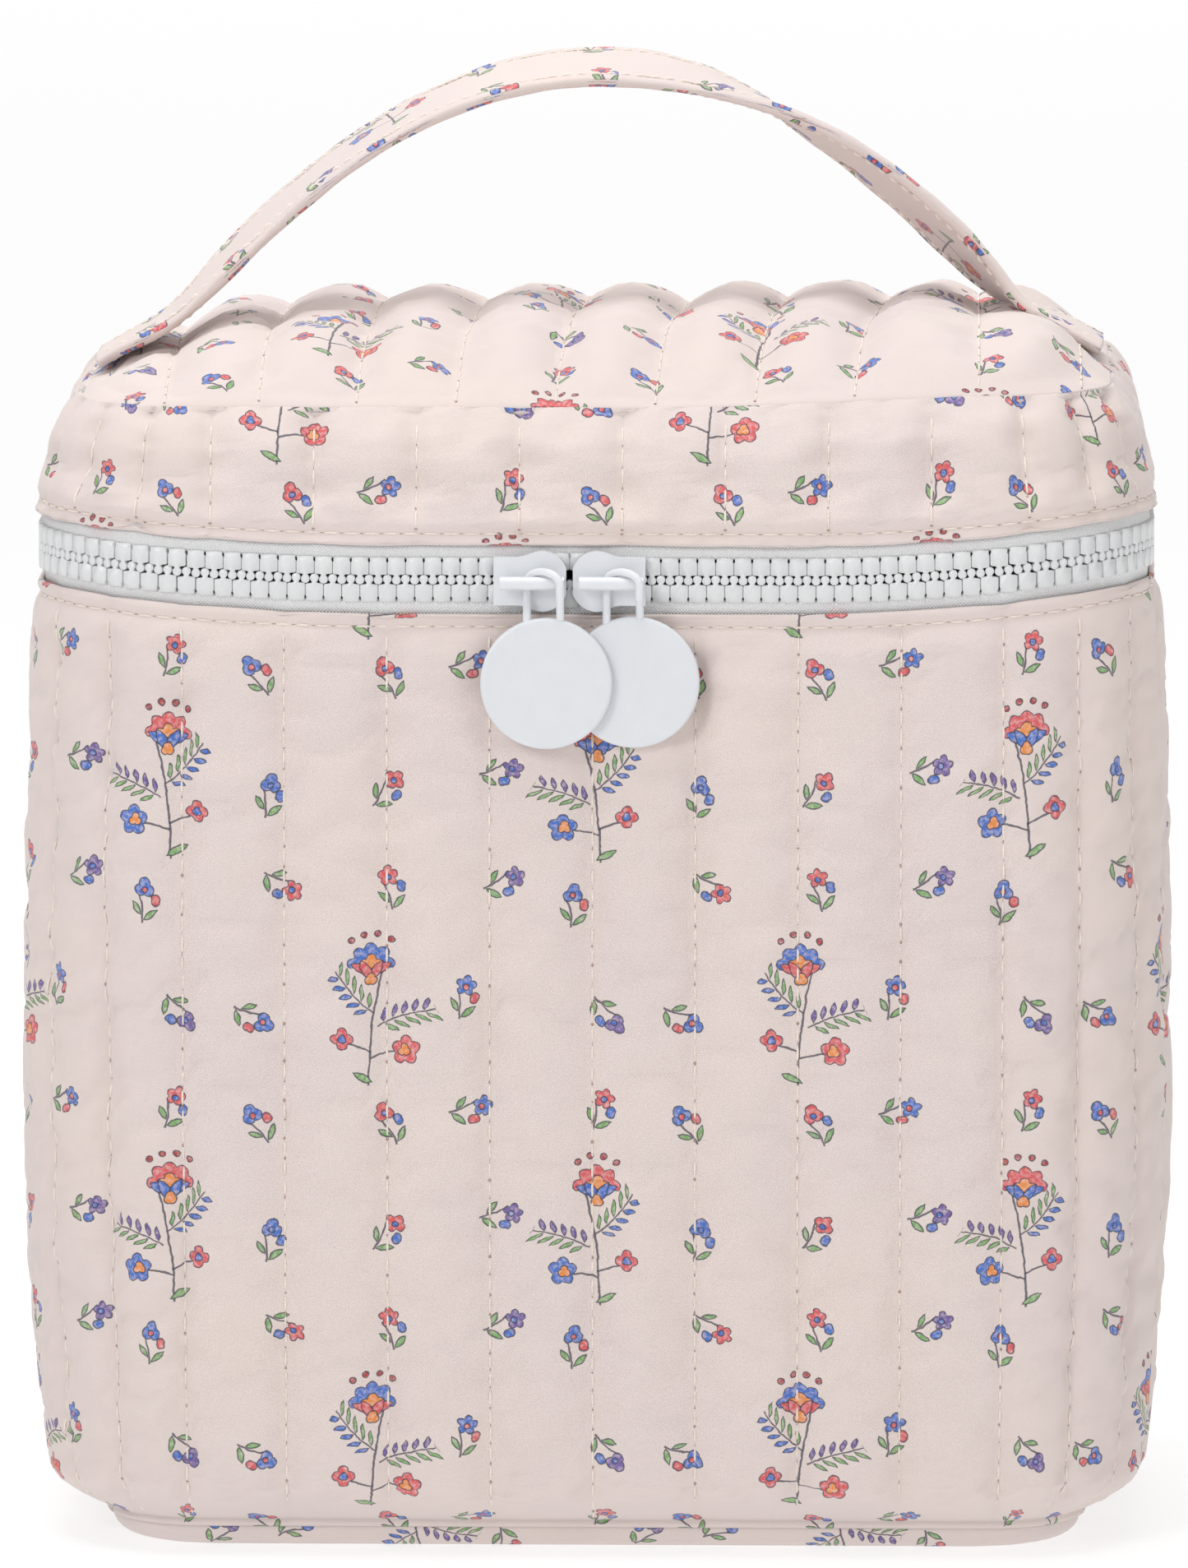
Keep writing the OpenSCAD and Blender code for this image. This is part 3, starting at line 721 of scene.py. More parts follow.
# hinge at the back
# strips of cloth from the body to the lid, outside over the seam and inside behind the lining
def buildHinge():
    joint = next(j for j in frame["joints"] if j["name"] == "lid_hinge")
    hingeZ = joint["pos_m"][2] / mm
    strips = {
        "hinge_binding": {"reach": 3.4, "inset": edgeInset + 0.35, "thick": 0.9, "swell": 0.7},
        "hinge_cloth": {"reach": 3.6, "inset": 5.4, "thick": 0.8, "swell": -0.3},
    }
    start = frontEnd + cornerArc

    def relief(along, z):
        return 0.35 * ripple(along, z, 0, 7, 91)

    for name, strip in strips.items():
        zs = np.linspace(hingeZ - strip["reach"], hingeZ + strip["reach"], 19)
        bulge = strip["swell"] * np.cos((zs - hingeZ) / strip["reach"] * math.pi / 2)
        out = [(strip["inset"] - b, z, 1) for b, z in zip(bulge, zs)]
        back = [(i + strip["thick"], z, 0) for i, z, _ in reversed(out)]
        columns = np.linspace(start, 2 * halfRound - start, 150)
        piece = wallPanel(name, out + back, columns, relief)
        (hingeZ - strip["reach"] * 0.8) * mm
        (hingeZ + strip["reach"] * 0.8) * mm
        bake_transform(piece)
        "quilt" if name == "hinge_binding" else "lining"
        piece.data.materials.append(plainCloth if name == "hinge_binding" else liningCloth)
        if name == "hinge_cloth":
            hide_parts("hinge_strip")


# piping that closes the seam round the back corners, and a flap of tape behind each end of the zip
def buildCornerSeams():
    middle = (cad("back_panel")[1][2] + cad("lid_back_panel")[0][2]) / 2
    round_ = [(edgeInset + 1.0 - 1.0 * math.cos(a), middle + 0.9 * math.sin(a), 0)
              for a in np.linspace(0, 2 * math.pi, 13)[:-1]]
    flap = [(7.35, middle - 6.5, 0), (7.35, middle + 4.5, 0), (8.1, middle + 4.5, 0), (8.1, middle - 6.5, 0)]
    for side, way in (("left", -1), ("right", 1)):
        for name, profile, start, end, slot, finish in (
                ("corner_piping_", round_, frontEnd + 0.1, frontEnd + cornerArc + 0.6, "quilt", plainCloth),
                ("zip_end_flap_", flap, frontEnd - 7, frontEnd + 2.5, "zip_tape", tapeWeave)):
            columns = np.sort(way * np.linspace(start, end, max(8, round(end - start))))
            placePiece(wallPanel(name + side, profile, columns, noRelief), "body", slot, finish)


# zip
zipper = {
    "pitch": 3.75,
    "chain": 8.2,
    "toothThickness": 3.6,
    "headRadius": 0.92,
    "blockWidth": 3.7,
    "tailWidth": 3.36,
    "cordRadius": 0.75,
    "tapeThickness": 0.9,
    "parted": 1.1,     # how far the rows stand apart between the two sliders
}


def toothRow(name, way, body, node):
    radius = cornerRadius - tapeInset - 0.5
    arc = radius * math.pi / 2
    sideEndZip = cad("lower_stops")[0][1] - 0.2
    reach = cornerX + arc + cornerY + sideEndZip
    count = int(2 * reach / zipper["pitch"])
    pitch = 2 * reach / count
    half = zipper["blockWidth"] / 2
    low = -zipper["chain"] / 2
    head, headZ = zipper["headRadius"], 0.12
    neck = head * 0.55
    tail = zipper["tailWidth"] / 2
    outline = [(-tail, low - 0.5), (-tail, low + 0.35), (-half, low + 0.6), (-half, -1.24),
               (-half + 0.2, -1.07), (-neck - 0.1, -0.96), (-neck, -0.7)]
    outline += [(head * math.sin(a), headZ - head * math.cos(a))
                for a in np.linspace(-0.75, -2 * math.pi + 0.75, 15)]
    outline += [(-x, z) for x, z in reversed(outline[:7])]
    depth = zipper["toothThickness"] / 2
    layers = [(-depth, 0.13), (-depth + 0.2, 0.0), (depth - 0.2, 0.0), (depth, 0.13)]
    centre = np.mean(outline, axis=0)
    points, faces = [], []
    noseX = (cad("slider_left")[1][0] + cad("slider_right")[0][0]) / 2
    for i in range(count - 1):
        d = (i + (0.75 if way > 0 else 1.25)) * pitch - reach
        along = float(np.interp(abs(d), [0, cornerX, cornerX + arc, reach + 9],
                                [0, cornerX, cornerX + cornerArc, cornerArc + reach + 9 - arc]))
        x, y, nx, ny = (float(v) for v in planAt(math.copysign(along, d)))
        rise = float(zipRise(math.copysign(along, d), zipMiddle))
        apart = zipper["parted"] * max(0, 1 - ((d - noseX) / 7) ** 2) if abs(d) < cornerX else 0
        first = len(points)
        for deep, trim in layers:
            for px, pz in outline:
                qx = px - trim * np.sign(px - centre[0]) * (abs(px) > 0.3)
                qz = way * (pz - trim * (pz > 0.3) - apart)
                r = radius - deep
                points.append((x + nx * r - ny * qx, y + ny * r + nx * qx, zipMiddle + qz + rise))
        faces += ringFaces(first, len(layers), len(outline))
    placePiece(makeMesh(name, points, faces), body, "zip_teeth", toothPlastic, node)


def zipTape(name, way, body, node):
    low, high = (v[2] for v in cad(node))
    edge, sewn = (high, zipLow - 2) if way > 0 else (low, zipHigh + 2)   # it ends before the topstitching
    cord, thick = zipper["cordRadius"], zipper["tapeThickness"]
    profile = [(tapeInset, sewn, 0), (tapeInset, edge - way * 2.2 * cord, 0)]
    middle = tapeInset + thick / 2
    profile += [(middle - (cord + 0.1) * math.cos(a), edge - way * cord + way * cord * math.sin(a), 0)
                for a in np.linspace(-0.5, math.pi + 0.5, 12)]
    profile += [(tapeInset + thick, edge - way * 2.2 * cord, 0), (tapeInset + thick, sewn, 0)]
    columns = np.linspace(-frontEnd + 0.3, frontEnd - 0.3, 300)
    placePiece(wallPanel(name, profile, columns, noRelief), body, "zip_tape", tapeWeave, node)


def buildZip():
    zipTape("zip_tape_lower", 1, "body", "lower_tape")
    zipTape("zip_tape_upper", -1, "lid", "upper_tape")
    toothRow("zip_teeth_lower", 1, "body", "lower_teeth")
    toothRow("zip_teeth_upper", -1, "lid", "upper_teeth")
    for node in ("lower_stops", "upper_stops"):
        soften(frame["nodes"][node], 0.4, toothPlastic)


# rounds a frame part's edges and gives it its finish
def soften(node, radius, finish):
    bevel = node.modifiers.new("rounded", "BEVEL")
    bevel.width, bevel.segments, bevel.limit_method = radius * mm, 4, "ANGLE"
    bevel.angle_limit = math.radians(32)
    bevel.use_clamp_overlap = True
    node.data.materials.clear()
    node.data.materials.append(finish)
    node.data.shade_smooth()


# sliders and pulls
def buildSliders():
    for side in ("left", "right"):
        soften(frame["nodes"]["slider_" + side], 0.45, sliderEnamel)
        loop = frame["nodes"]["pull_loop_" + side]
        loop.data.materials.clear()
        loop.data.materials.append(sliderEnamel)
        loop.data.shade_smooth()
        buildDisc(side)


def buildDisc(side):
    low, high = cad("pull_disc_" + side)
    radius, half = (high[0] - low[0]) / 2, (high[1] - low[1]) / 2
    centre = (low + high) / 2
    rim = 0.75
    outline = [(0, half), (radius * 0.5, half), (radius - rim - 0.6, half)]
    outline += [(radius - rim + rim * math.sin(a), half - rim + rim * math.cos(a))
                for a in np.linspace(0, math.pi / 2, 7)]
    outline += [(r, -h) for r, h in reversed(outline)]
    around = 120
    turn = np.arange(around) * 2 * math.pi / around
    rings = outline[1:-1]
    points = [(centre[0] + r * math.cos(a), centre[1] - h, centre[2] + r * math.sin(a))
              for r, h in rings for a in turn]
    piece = makeMesh("disc_" + side, points, ringFaces(0, len(rings), around))
    placePiece(piece, "pull_" + side, "pull", discPlastic, "pull_disc_" + side)


# handle
handle = {
    "width": 25,
    "thickness": 2.6,
    "leftYaw": 7,     # degrees that its width turns about the upright
    "rightYaw": 26,
    "topTilt": 10,    # degrees that its front edge hangs lower at the top
    "stitchIn": 2.6,  # stitch rows, in from the edges
    "footIn": 13.5,   # where the arch meets the lid, in from its end
    "below": 3,       # its middle line, below its top
    "bend": 2.2,      # softness of the bend at its feet
    "skew": 0.055,    # how far it runs to the back for each step to the right
}


# middle line, width direction and outer direction of the strap, at places from end to end
def strapFrame(count=150):
    top = strapHigh[2] - handle["below"]
    endX = footHigh[0]
    footX = endX - handle["footIn"]
    footZ = float(domeHeight(np.array(footX / (halfWide - lidInset)))) + 0.3
    drop = (top - footZ) / footX ** 2
    x = np.sin(np.linspace(-1, 1, count) * 1.25) / math.sin(1.25) * endX
    arch = top - drop * x ** 2
    rest = domeHeight(np.abs(x) / (halfWide - lidInset)) + lidLean(x) + 1.8
    z = np.logaddexp(arch / handle["bend"], rest / handle["bend"]) * handle["bend"]
    z = np.minimum(z, top)
    y = handle["skew"] * x * (1 - smooth(np.abs(x), 70, endX))
    line = np.stack([x, y, z], -1)
    ahead = np.gradient(line, axis=0)
    ahead /= np.linalg.norm(ahead, axis=1, keepdims=True)
    free = 1 - smooth(np.abs(x), 72, endX - 2)
    yaw = np.where(x < 0, handle["leftYaw"], handle["rightYaw"]) * free * smooth(np.abs(x), 0, 55)
    tilt = handle["topTilt"] * np.where(x < 0, 1 - 0.6 * smooth(-x, 10, 60), 1 - smooth(x, 5, 60)) * free
    yaw, tilt = np.radians(yaw), np.radians(tilt)
    across = np.stack([-np.sin(yaw), np.cos(yaw), np.sin(tilt)], -1)
    across -= ahead * (across * ahead).sum(1, keepdims=True)
    across /= np.linalg.norm(across, axis=1, keepdims=True)
    out = np.cross(ahead, across)
    return line, across, out


def buildHandle():
    line, across, out = strapFrame()
    half, thick = handle["width"] / 2, handle["thickness"] / 2
    section = []
    for w in np.linspace(-1, 1, 23):
        near = abs(abs(w) * half - (half - handle["stitchIn"]))
        edge = math.sqrt(max(0.0, 1 - max(0, (abs(w) * half - half + 1.2) / 1.2) ** 2)) if abs(w) < 1 else 0.0
        section.append((w * half, thick * (0.35 + 0.65 * edge) * (1 - 0.32 * math.exp(-(near / 0.8) ** 2))))
    section = section + [(w, -h) for w, h in reversed(section)]
    length = np.concatenate([[0], np.cumsum(np.linalg.norm(np.diff(line, axis=0), axis=1))])
    points = np.array([line + across * w + out * h for w, h in section])
    count = len(section) // 2
    puff = 0.35 * ripple(np.array([s[0] for s in section])[:, None], length[None, :], 0, 9, 61)
    side = np.where(np.arange(len(section)) < count, 1, -1)[:, None, None]
    points = points + out[None] * (puff[..., None] * side)
    uv = np.stack(np.broadcast_arrays(length[None, :] + 21, np.array([s[0] for s in section])[:, None]
                                      + np.where(side[..., 0] > 0, 0, 47)), -1)
    strap = makeMesh("handle_strap_cloth", points, tubeFaces(*points.shape[:2]), uv)
    strap.data.materials.append(printedCloth)
    runs = []
    for w in (half - handle["stitchIn"], handle["stitchIn"] - half):
        for face in (1, -1):
            inside = slice(3, -3)
            runs.append(((line + across * w + out * face * thick * 0.72)[inside], (out * face)[inside]))
    seam = stitchPiece("stitches_handle", runs, pitch=3.1, radius=0.36)
    for piece in (strap, seam):
        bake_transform(piece)
    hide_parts("handle_strap", "handle_end_left", "handle_end_right")


# finishes
# display colour to the linear one that shaders take
def tint(r, g, b):
    return tuple(c / 12.92 if c <= 0.04045 else ((c + 0.055) / 1.055) ** 2.4 for c in (r, g, b)) + (1.0,)


# a number in a node tree, so that shapes can be written as sums
class Field:
    def __init__(self, tree, socket):
        self.tree, self.socket = tree, socket

    def maths(self, operation, *others, clamp=False):
        node = self.tree.nodes.new("ShaderNodeMath")
        node.operation, node.use_clamp = operation, clamp
        for place, value in zip(node.inputs, (self,) + others):
            if isinstance(value, Field):
                self.tree.links.new(value.socket, place)
            else:
                place.default_value = value
        return Field(self.tree, node.outputs[0])

    def __rsub__(self, other):
        return self.maths("MULTIPLY_ADD", -1.0, other)

    def __neg__(self):
        return self.maths("MULTIPLY", -1.0)

    # 1 where the number is under the edge, with a soft border
    def under(self, edge, border=0.12):
        return (edge - self).maths("MULTIPLY_ADD", 1 / border, 0.5, clamp=True)


# the sums that a field takes part in
def fieldOperator(operation):
    def applied(self, *others):
        return self.maths(operation, *others)
    return applied


for method, operation in {"__add__": "ADD", "__radd__": "ADD", "__sub__": "SUBTRACT", "__mul__": "MULTIPLY",
                          "__rmul__": "MULTIPLY", "__truediv__": "DIVIDE", "__pow__": "POWER",
                          "__abs__": "ABSOLUTE", "most": "MAXIMUM"}.items():
    setattr(Field, method, fieldOperator(operation))


def newNode(tree, kind, links=None, **values):
    node = tree.nodes.new(kind)
    for key, value in values.items():
        setattr(node, key, value)
    for key, value in (links or {}).items():
        place = node.inputs[key]
        if isinstance(value, Field):
            value = value.socket
        if isinstance(value, bpy.types.NodeSocket):
            tree.links.new(value, place)
        else:
            place.default_value = value
    return node


def mixColours(tree, amount, under, over):
    node = newNode(tree, "ShaderNodeMix", {0: amount, 6: under, 7: over}, data_type="RGBA")
    return node.outputs[2]


# cloudy numbers, about 0.5, over a place
def cloudField(tree, place, scale, detail=2.0):
    node = newNode(tree, "ShaderNodeTexNoise", {"Vector": place, "Scale": scale, "Detail": detail})
    return Field(tree, node.outputs[0])


def turned(x, y, angle):
    c, s = math.cos(angle), math.sin(angle)
    return x * c + y * s, y * c - x * s


def leafShape(x, y, angle, length, width):
    along, across = turned(x, y, angle)
    return (abs(across) / width + (along / length) ** 2 - 1) * width


def stalkShape(x, y, angle, length, bend, width=0.13):
    along, across = turned(x, y, angle)
    return (abs(across - along * along * bend) - width).most(abs(along - length / 2) - length / 2)


def petalShape(x, y, count, size, depth=0.35):
    round_ = x.maths("ARCTAN2", y) * (count * 0.5)
    edge = abs(round_.maths("COSINE")) * (size * depth) + size * (1 - depth)
    return (x * x + y * y).maths("SQRT") - edge


# a branch with slanting leaflets on both sides
def frondShape(x, y, angle, length):
    along, across = turned(x, y, angle)
    across = across - along * along * 0.022
    side = abs(across)
    place = ((along - side * 0.75) / 1.9).maths("FRACT") - 0.5
    leaflets = (abs(place) * 1.9 / 0.5 + ((side - 1.35) / 1.05) ** 2 - 1) * 0.5
    within = (abs(along - length * 0.56) - length * 0.44)
    return leaflets.most(within), (side - 0.1).most(abs(along - length / 2) - length / 2), across


inks = {
    "outline": tint(0.22, 0.22, 0.29),
    "coral": tint(0.84, 0.36, 0.37),
    "brick": tint(0.68, 0.25, 0.24),
    "blue": tint(0.28, 0.44, 0.76),
    "green": tint(0.48, 0.66, 0.40),
    "violet": tint(0.45, 0.37, 0.62),
    "amber": tint(0.90, 0.55, 0.26),
}
printSize = {"tile": (89.0, 93.0), "cells": 4, "outline": 0.12, "sprig": 1.22, "spray": 1.16}


# a scattered print of small sprigs and two sprays, as a colour over a place in millimetres
def floralPrint():
    group = bpy.data.node_groups.new("floral_print", "ShaderNodeTree")
    group.interface.new_socket("Place", in_out="INPUT", socket_type="NodeSocketVector")
    group.interface.new_socket("Ground", in_out="INPUT", socket_type="NodeSocketColor")
    group.interface.new_socket("Colour", in_out="OUTPUT", socket_type="NodeSocketColor")
    start, end = group.nodes.new("NodeGroupInput"), group.nodes.new("NodeGroupOutput")
    wobble = newNode(group, "ShaderNodeTexNoise", {"Vector": start.outputs[0], "Scale": 0.7, "Detail": 1.0})
    shaken = newNode(group, "ShaderNodeVectorMath", {0: wobble.outputs["Color"], 1: (0.55, 0.55, 0)},
                     operation="MULTIPLY")
    placed = newNode(group, "ShaderNodeVectorMath", {0: start.outputs[0], 1: shaken.outputs[0]},
                     operation="ADD")
    split = newNode(group, "ShaderNodeSeparateXYZ", {0: placed.outputs[0]})
    x, y = Field(group, split.outputs[0]), Field(group, split.outputs[1])
    art = start.outputs[1]
    wash = cloudField(group, start.outputs[0], 1.1)

    def draw(shape, colour, filled=True, outline=printSize["outline"]):
        nonlocal art
        if filled:
            pale = mixColours(group, (wash - 0.42) * 1.6, colour, tint(0.93, 0.86, 0.85))
            art = mixColours(group, shape.under(0.0), art, pale)
        line = abs(shape) if filled else shape
        art = mixColours(group, line.under(outline) * 0.85, art, inks["outline"])

    def anyOf(pick, first, second):
        return mixColours(group, pick, first, second)

    # small sprigs, one in each cell, turned and coloured by the cell's own numbers
    tileX, tileY = printSize["tile"]
    cells = printSize["cells"]
    cellX, cellY = x * (cells / tileX), y * (cells / tileY)
    i, j = cellX.maths("FLOOR"), cellY.maths("FLOOR")
    a, b = i.maths("FLOORED_MODULO", cells), j.maths("FLOORED_MODULO", cells)
    corner = newNode(group, "ShaderNodeCombineXYZ", {0: a + 3.7, 1: b + 9.2})
    chance = newNode(group, "ShaderNodeTexWhiteNoise", {"Vector": corner.outputs[0]}, noise_dimensions="2D")
    numbers = newNode(group, "ShaderNodeSeparateColor", {0: chance.outputs["Color"]})
    r, g, h = (Field(group, s) for s in numbers.outputs)
    k = Field(group, chance.outputs["Value"])
    px = ((cellX - i - 0.5) * (tileX / cells) - (r - 0.5) * 9) / printSize["sprig"]
    py = ((cellY - j - 0.5) * (tileY / cells) - (g - 0.5) * 7) / printSize["sprig"]
    angle = (h - 0.5) * 5.0
    c, s = angle.maths("COSINE"), angle.maths("SINE")
    sx, sy = px * c + py * s, py * c - px * s
    spray = (abs(a - b) + abs(a - cells / 2) * abs(a)).under(0.5)      # the two cells that hold a spray
    away = spray * 30
    sx = sx + away
    first = anyOf(k.under(0.55, 0.01), inks["coral"], inks["blue"])
    first = anyOf((k - 0.82).under(0.0, 0.01), inks["violet"], first)
    second = anyOf(r.under(0.45, 0.01), inks["blue"], inks["coral"])
    second = anyOf((h - 0.72).under(0.0, 0.01), inks["amber"], second)
    draw(stalkShape(sx, sy + 3.6, math.pi / 2, 5.0, 0.05), inks["outline"], filled=False, outline=0.05)
    draw(leafShape(sx - 1.35, sy + 2.2, 0.75, 1.45, 0.5), inks["green"])
    draw(leafShape(sx + 1.25, sy + 1.3, 2.3, 1.3, 0.45), inks["green"])
    draw(petalShape(sx - 1.9, sy - 0.3, 2, 0.95, 0.3), second)
    petals = (g * 2.99).maths("FLOOR") + 3
    draw(petalShape(sx, sy - 2.2, petals, 1.75, 0.38), first)
    draw((sx * sx + (sy - 1.9) ** 2).maths("SQRT") - 0.5, second)

    # two sprays to a tile, half a tile apart each way; the second is drawn the other way round
    def fromMiddle(value, size, shift):
        return ((value / size - shift).maths("FRACT") - 0.5) * size

    half = 0.5 / cells
    ax, ay = fromMiddle(x, tileX, half - 0.5), fromMiddle(y, tileY, half - 0.5)
    bx, by = fromMiddle(x, tileX, half), fromMiddle(y, tileY, half)
    other = ((bx * bx + by * by) - (ax * ax + ay * ay)).under(0.0, 0.01)
    qx = (ax + (-bx - ax) * other) / printSize["spray"]
    qy = (ay + (by - ay) * other) / printSize["spray"]
    main = anyOf(other, inks["coral"], inks["blue"])
    side = anyOf(other, inks["blue"], inks["coral"])
    draw(stalkShape(qx - 1.5, qy + 14, math.pi / 2, 21, 0.006), inks["outline"], False, 0.07)
    leftLeaf, leftStem, leftSide = frondShape(qx + 0.3, qy + 3.5, math.pi - 0.55, 10.5)
    rightLeaf, rightStem, rightSide = frondShape(qx - 0.6, qy + 1.0, 0.62, 10.0)
    leafTint = anyOf(leftSide.under(0.0, 0.01), inks["green"], inks["violet"])
    draw(leftLeaf, leafTint)
    draw(leftStem, inks["outline"], False, 0.05)
    leafTint = anyOf(rightSide.under(0.0, 0.01), inks["green"], inks["blue"])
    draw(rightLeaf, leafTint)
    draw(rightStem, inks["outline"], False, 0.05)
    draw(stalkShape(qx - 1.2, qy + 9, math.pi - 0.35, 6, 0.03), inks["outline"], False, 0.05)
    draw(stalkShape(qx - 1.2, qy + 8, 0.5, 5.5, -0.03), inks["outline"], False, 0.05)
    draw(petalShape(qx + 5.2, qy + 7.6, 5, 2.6, 0.3), side)
    draw(petalShape(qx + 4.9, qy + 7.6, 3, 1.2, 0.4), inks["amber"])
    draw(petalShape(qx - 6.3, qy + 5.6, 4, 2.0, 0.35), inks["coral"])
    draw(petalShape(qx - 6.3, qy + 5.6, 3, 0.8, 0.3), inks["blue"])
    draw(leafShape(qx - 2.6, qy + 12.6, 0.5, 2.0, 0.6), inks["green"])
    fx, fy = qx - 1.0, qy - 7.4
    draw(petalShape(fx, fy, 9, 4.3, 0.2).most(-0.3 - fy), main)
    draw(petalShape(fx, fy, 5, 2.3, 0.3).most(-0.3 - fy), inks["amber"])
    for tipX, turn in ((-1.7, 2.75), (1.7, 0.4), (-0.9, 2.1), (0.9, 1.05)):
        draw(leafShape(fx - tipX, fy + 1.2 - 0.5 * abs(tipX), turn, 2.1, 0.85), side)
    draw(petalShape(fx, fy + 2.3, 3, 1.2, 0.25), inks["amber"])
    ring = (qx - 1.0).maths("ARCTAN2", qy - 7.4) / 0.42
    berry = ring.maths("FRACT") - 0.5
    reach = ((qx - 1.0) ** 2 + (qy - 7.4) ** 2).maths("SQRT") - 6.0
    dots = ((berry * 2.5) ** 2 + reach ** 2).maths("SQRT") - 0.55
    dots = dots.most(abs(ring) - 1.9)
    draw(dots, inks["brick"])
    group.links.new(art, end.inputs[0])
    return group


def newMaterial(name, **values):
    material = bpy.data.materials.new(name)
    material.use_nodes = True
    tree = material.node_tree
    shader = tree.nodes["Principled BSDF"]
    for key, value in values.items():
        shader.inputs[key.replace("_", " ")].default_value = value
    return material, tree, shader


# place on the cloth, in millimetres
def clothPlace(tree):
    place = newNode(tree, "ShaderNodeUVMap", uv_map="cloth")
    return newNode(tree, "ShaderNodeVectorMath", {0: place.outputs[0], 1: (1000, 1000, 1000)},
                   operation="MULTIPLY").outputs[0]


def objectPlace(tree):
    place = newNode(tree, "ShaderNodeTexCoord")
    return newNode(tree, "ShaderNodeVectorMath", {0: place.outputs["Object"], 1: (1000, 1000, 1000)},
                   operation="MULTIPLY").outputs[0]


def addBump(tree, shader, height, distance, strength):
    bump = newNode(tree, "ShaderNodeBump", {"Height": height, "Distance": distance, "Strength": strength})
    tree.links.new(bump.outputs[0], shader.inputs["Normal"])


# crossing threads with fine unevenness, as a bump
def weaveBump(tree, shader, place, pitch, strength, grain=0.5):
    split = newNode(tree, "ShaderNodeSeparateXYZ", {0: place})
    x, y = Field(tree, split.outputs[0]), Field(tree, split.outputs[1])
    threads = (x * (2 * math.pi / pitch)).maths("SINE") * (y * (2 * math.pi / pitch)).maths("SINE")
    fuzz = cloudField(tree, place, 1.4, 4.0)
    addBump(tree, shader, threads * 0.4 + fuzz * grain, 0.0002, strength)


groundTints = {"warm": tint(0.886, 0.826, 0.800), "cool": tint(0.866, 0.812, 0.802)}


def clothGround(tree, place, low, high):
    return mixColours(tree, (cloudField(tree, place, 0.018, 3.0) - 0.3) * 2.2, low, high)


def makePrinted(group):
    material, tree, shader = newMaterial("printed_cotton", Roughness=0.72, Sheen_Weight=0.22,
                                         Sheen_Roughness=0.5)
    place = clothPlace(tree)
    ground = clothGround(tree, place, groundTints["warm"], groundTints["cool"])
    printed = newNode(tree, "ShaderNodeGroup", node_tree=group)
    tree.links.new(place, printed.inputs[0])
    tree.links.new(ground, printed.inputs[1])
    tree.links.new(printed.outputs[0], shader.inputs["Base Color"])
    weaveBump(tree, shader, place, 0.42, 0.35)
    return material


def makePlain(name, low, high, pitch=0.5, strength=0.4, uv=True, **values):
    material, tree, shader = newMaterial(name, **values)
    place = clothPlace(tree) if uv else objectPlace(tree)
    tree.links.new(clothGround(tree, place, low, high), shader.inputs["Base Color"])
    weaveBump(tree, shader, place, pitch, strength)
    return material


# moulded or enamelled surface: faint cloudiness in colour and gloss, fine orange peel
def makeMoulded(name, low, high, rough, peel=0.25, **values):
    material, tree, shader = newMaterial(name, **values)
    place = objectPlace(tree)
    cloud = cloudField(tree, place, 0.25, 4.0)
    tree.links.new(mixColours(tree, (cloud - 0.3) * 2, low, high), shader.inputs["Base Color"])
    tree.links.new((cloud * 0.16 + (rough - 0.08)).socket, shader.inputs["Roughness"])
    addBump(tree, shader, cloudField(tree, place, 2.2, 3.0), 0.0001, peel)
    return material


def makeBoard():
    material, tree, shader = newMaterial("grey_board", Roughness=0.9)
    place = objectPlace(tree)
    fibre = cloudField(tree, place, 0.9, 8.0)
    tree.links.new(mixColours(tree, fibre, tint(0.50, 0.47, 0.43), tint(0.64, 0.61, 0.56)),
                   shader.inputs["Base Color"])
    addBump(tree, shader, fibre, 0.0002, 0.5)
    return material


printedCloth = makePrinted(floralPrint())
plainCloth = makePlain("blush_cotton", groundTints["warm"], groundTints["cool"], Roughness=0.75,
                       Sheen_Weight=0.2)
liningCloth = makePlain("lining_cotton", tint(0.955, 0.94, 0.915), tint(0.93, 0.91, 0.88), 0.6, 0.5,
                        Roughness=0.8, Sheen_Weight=0.15)
tapeWeave = makePlain("zip_tape_weave", tint(0.94, 0.942, 0.945), tint(0.92, 0.923, 0.93), 0.7, 0.9,
                      Roughness=0.85)
thread = makePlain("cream_thread", tint(0.965, 0.92, 0.88), tint(0.93, 0.885, 0.84), 0.4, 0.6, uv=False,
                   Roughness=0.7)
# dark tan of the needle holes: painted shade in the pits between stitches
needleHoleShade = makePlain("needle_hole_painted_shade", tint(0.79, 0.69, 0.63), tint(0.74, 0.64, 0.58), 0.3, 0.3, uv=False,
                       Roughness=0.9)
toothPlastic = makeMoulded("tooth_plastic", tint(0.875, 0.878, 0.88), tint(0.85, 0.856, 0.862), 0.32,
                           Coat_Weight=0.15)
sliderEnamel = makeMoulded("slider_enamel", tint(0.885, 0.895, 0.91), tint(0.865, 0.875, 0.892), 0.3,
                           Coat_Weight=0.35, Coat_Roughness=0.15)
discPlastic = makeMoulded("disc_plastic", tint(0.868, 0.877, 0.893), tint(0.855, 0.865, 0.882), 0.42, 0.5)
boardFinish = makeBoard()


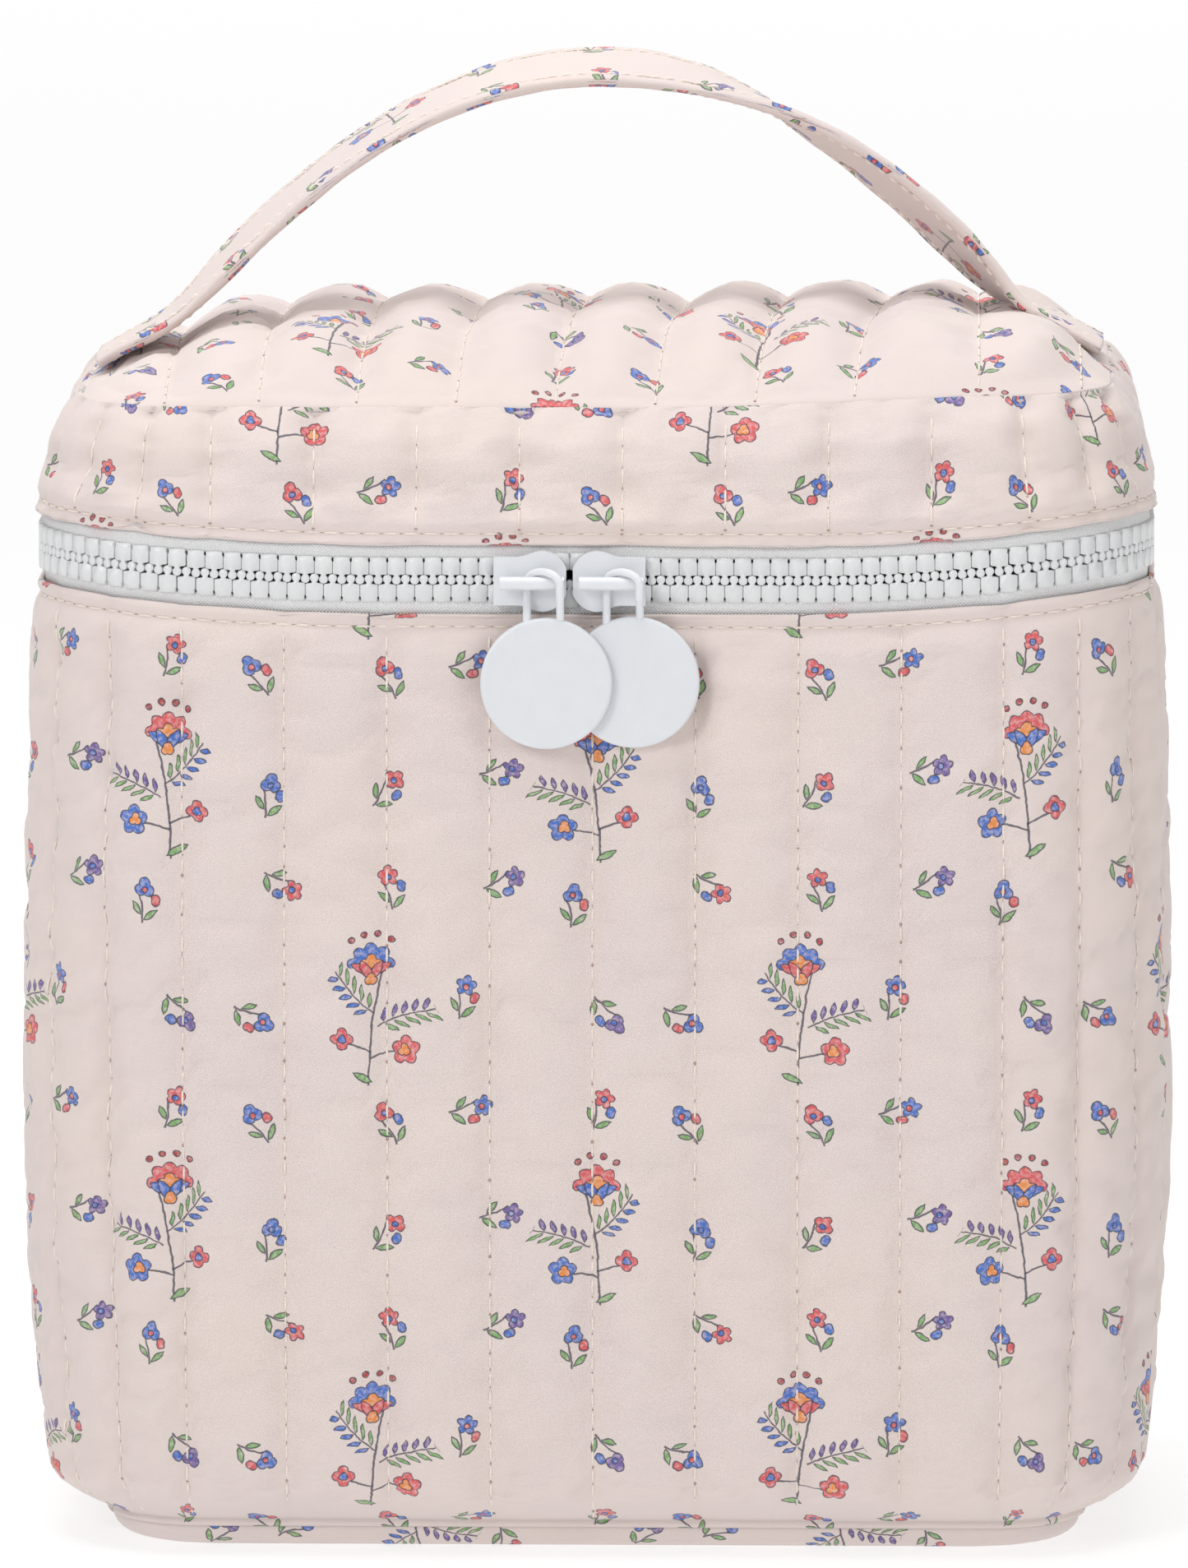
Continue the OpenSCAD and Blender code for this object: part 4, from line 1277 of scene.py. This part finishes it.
# room
view = {"azimuth": 1.3, "elevation": 8.0, "distance": 3.0, "across": 324.2, "aimHeight": 164}
room = {"sky": 0.46, "floor": 0.34, "floorGlow": 0.675}
lamps = {            # place, size and power
    "key": ((-0.8, -1.4, 1.0), 0.5, 7.5),
    "fill": ((1.4, -1.3, 0.6), 0.9, 3.5),
    "top": ((-0.1, -0.1, 1.6), 0.9, 13),
    "back": ((0, 5, 3.5), 5, 90),
}


def buildRoom():
    world = bpy.data.worlds.new("room")
    world.use_nodes = True
    world.node_tree.nodes["Background"].inputs[0].default_value = (1.0, 1.0, 1.0, 1)
    world.node_tree.nodes["Background"].inputs[1].default_value = room["sky"]
    scene.world = world
    scene.view_settings.view_transform = "Standard"
    bpy.ops.mesh.primitive_plane_add(size=60)
    floor = bpy.context.object
    floor.name = "floor"
    material, tree, shader = newMaterial("floor_white", Roughness=0.9)
    shader.inputs["Base Color"].default_value = (room["floor"],) * 3 + (1,)
    shader.inputs["Emission Color"].default_value = (1, 1, 1, 1)
    shader.inputs["Emission Strength"].default_value = room["floorGlow"]
    floor.data.materials.append(material)
    for name, (place, size, power) in lamps.items():
        light = bpy.data.lights.new(name, "AREA")
        light.size, light.energy = size, power
        lamp = bpy.data.objects.new(name, light)
        lamp.location = place
        lamp.rotation_euler = (Vector((0, 0, 0.13)) - Vector(place)).to_track_quat("-Z", "Y").to_euler()
        scene.collection.objects.link(lamp)


def buildCamera():
    a, e = math.radians(view["azimuth"]), math.radians(view["elevation"])
    back = Vector((math.sin(a) * math.cos(e), -math.cos(a) * math.cos(e), math.sin(e)))
    aim = Vector((0.4, -halfDeep, view["aimHeight"])) * mm
    camera = bpy.data.objects.new("camera", bpy.data.cameras.new("camera"))
    camera.location = aim + back * view["distance"]
    camera.rotation_euler = (-back).to_track_quat("-Z", "Y").to_euler()
    camera.data.sensor_width = 36
    camera.data.lens = 36 * view["distance"] / (view["across"] * mm)
    scene.collection.objects.link(camera)
    scene.camera = camera


buildCamera()
buildRoom()
print("room and camera ready")
buildBodyQuilt()
buildBase()
print("body quilt ready")
buildLidBand()
buildLidTop()
print("lid quilt ready")
stitchBody()
print("stitches ready")
buildLining()
buildHinge()
buildCornerSeams()
print("lining and hinge ready")
buildZip()
buildSliders()
print("zip ready")
buildHandle()
print("handle ready")
board = frame["nodes"]["base_board"]
board.data.materials.clear()
board.data.materials.append(boardFinish)
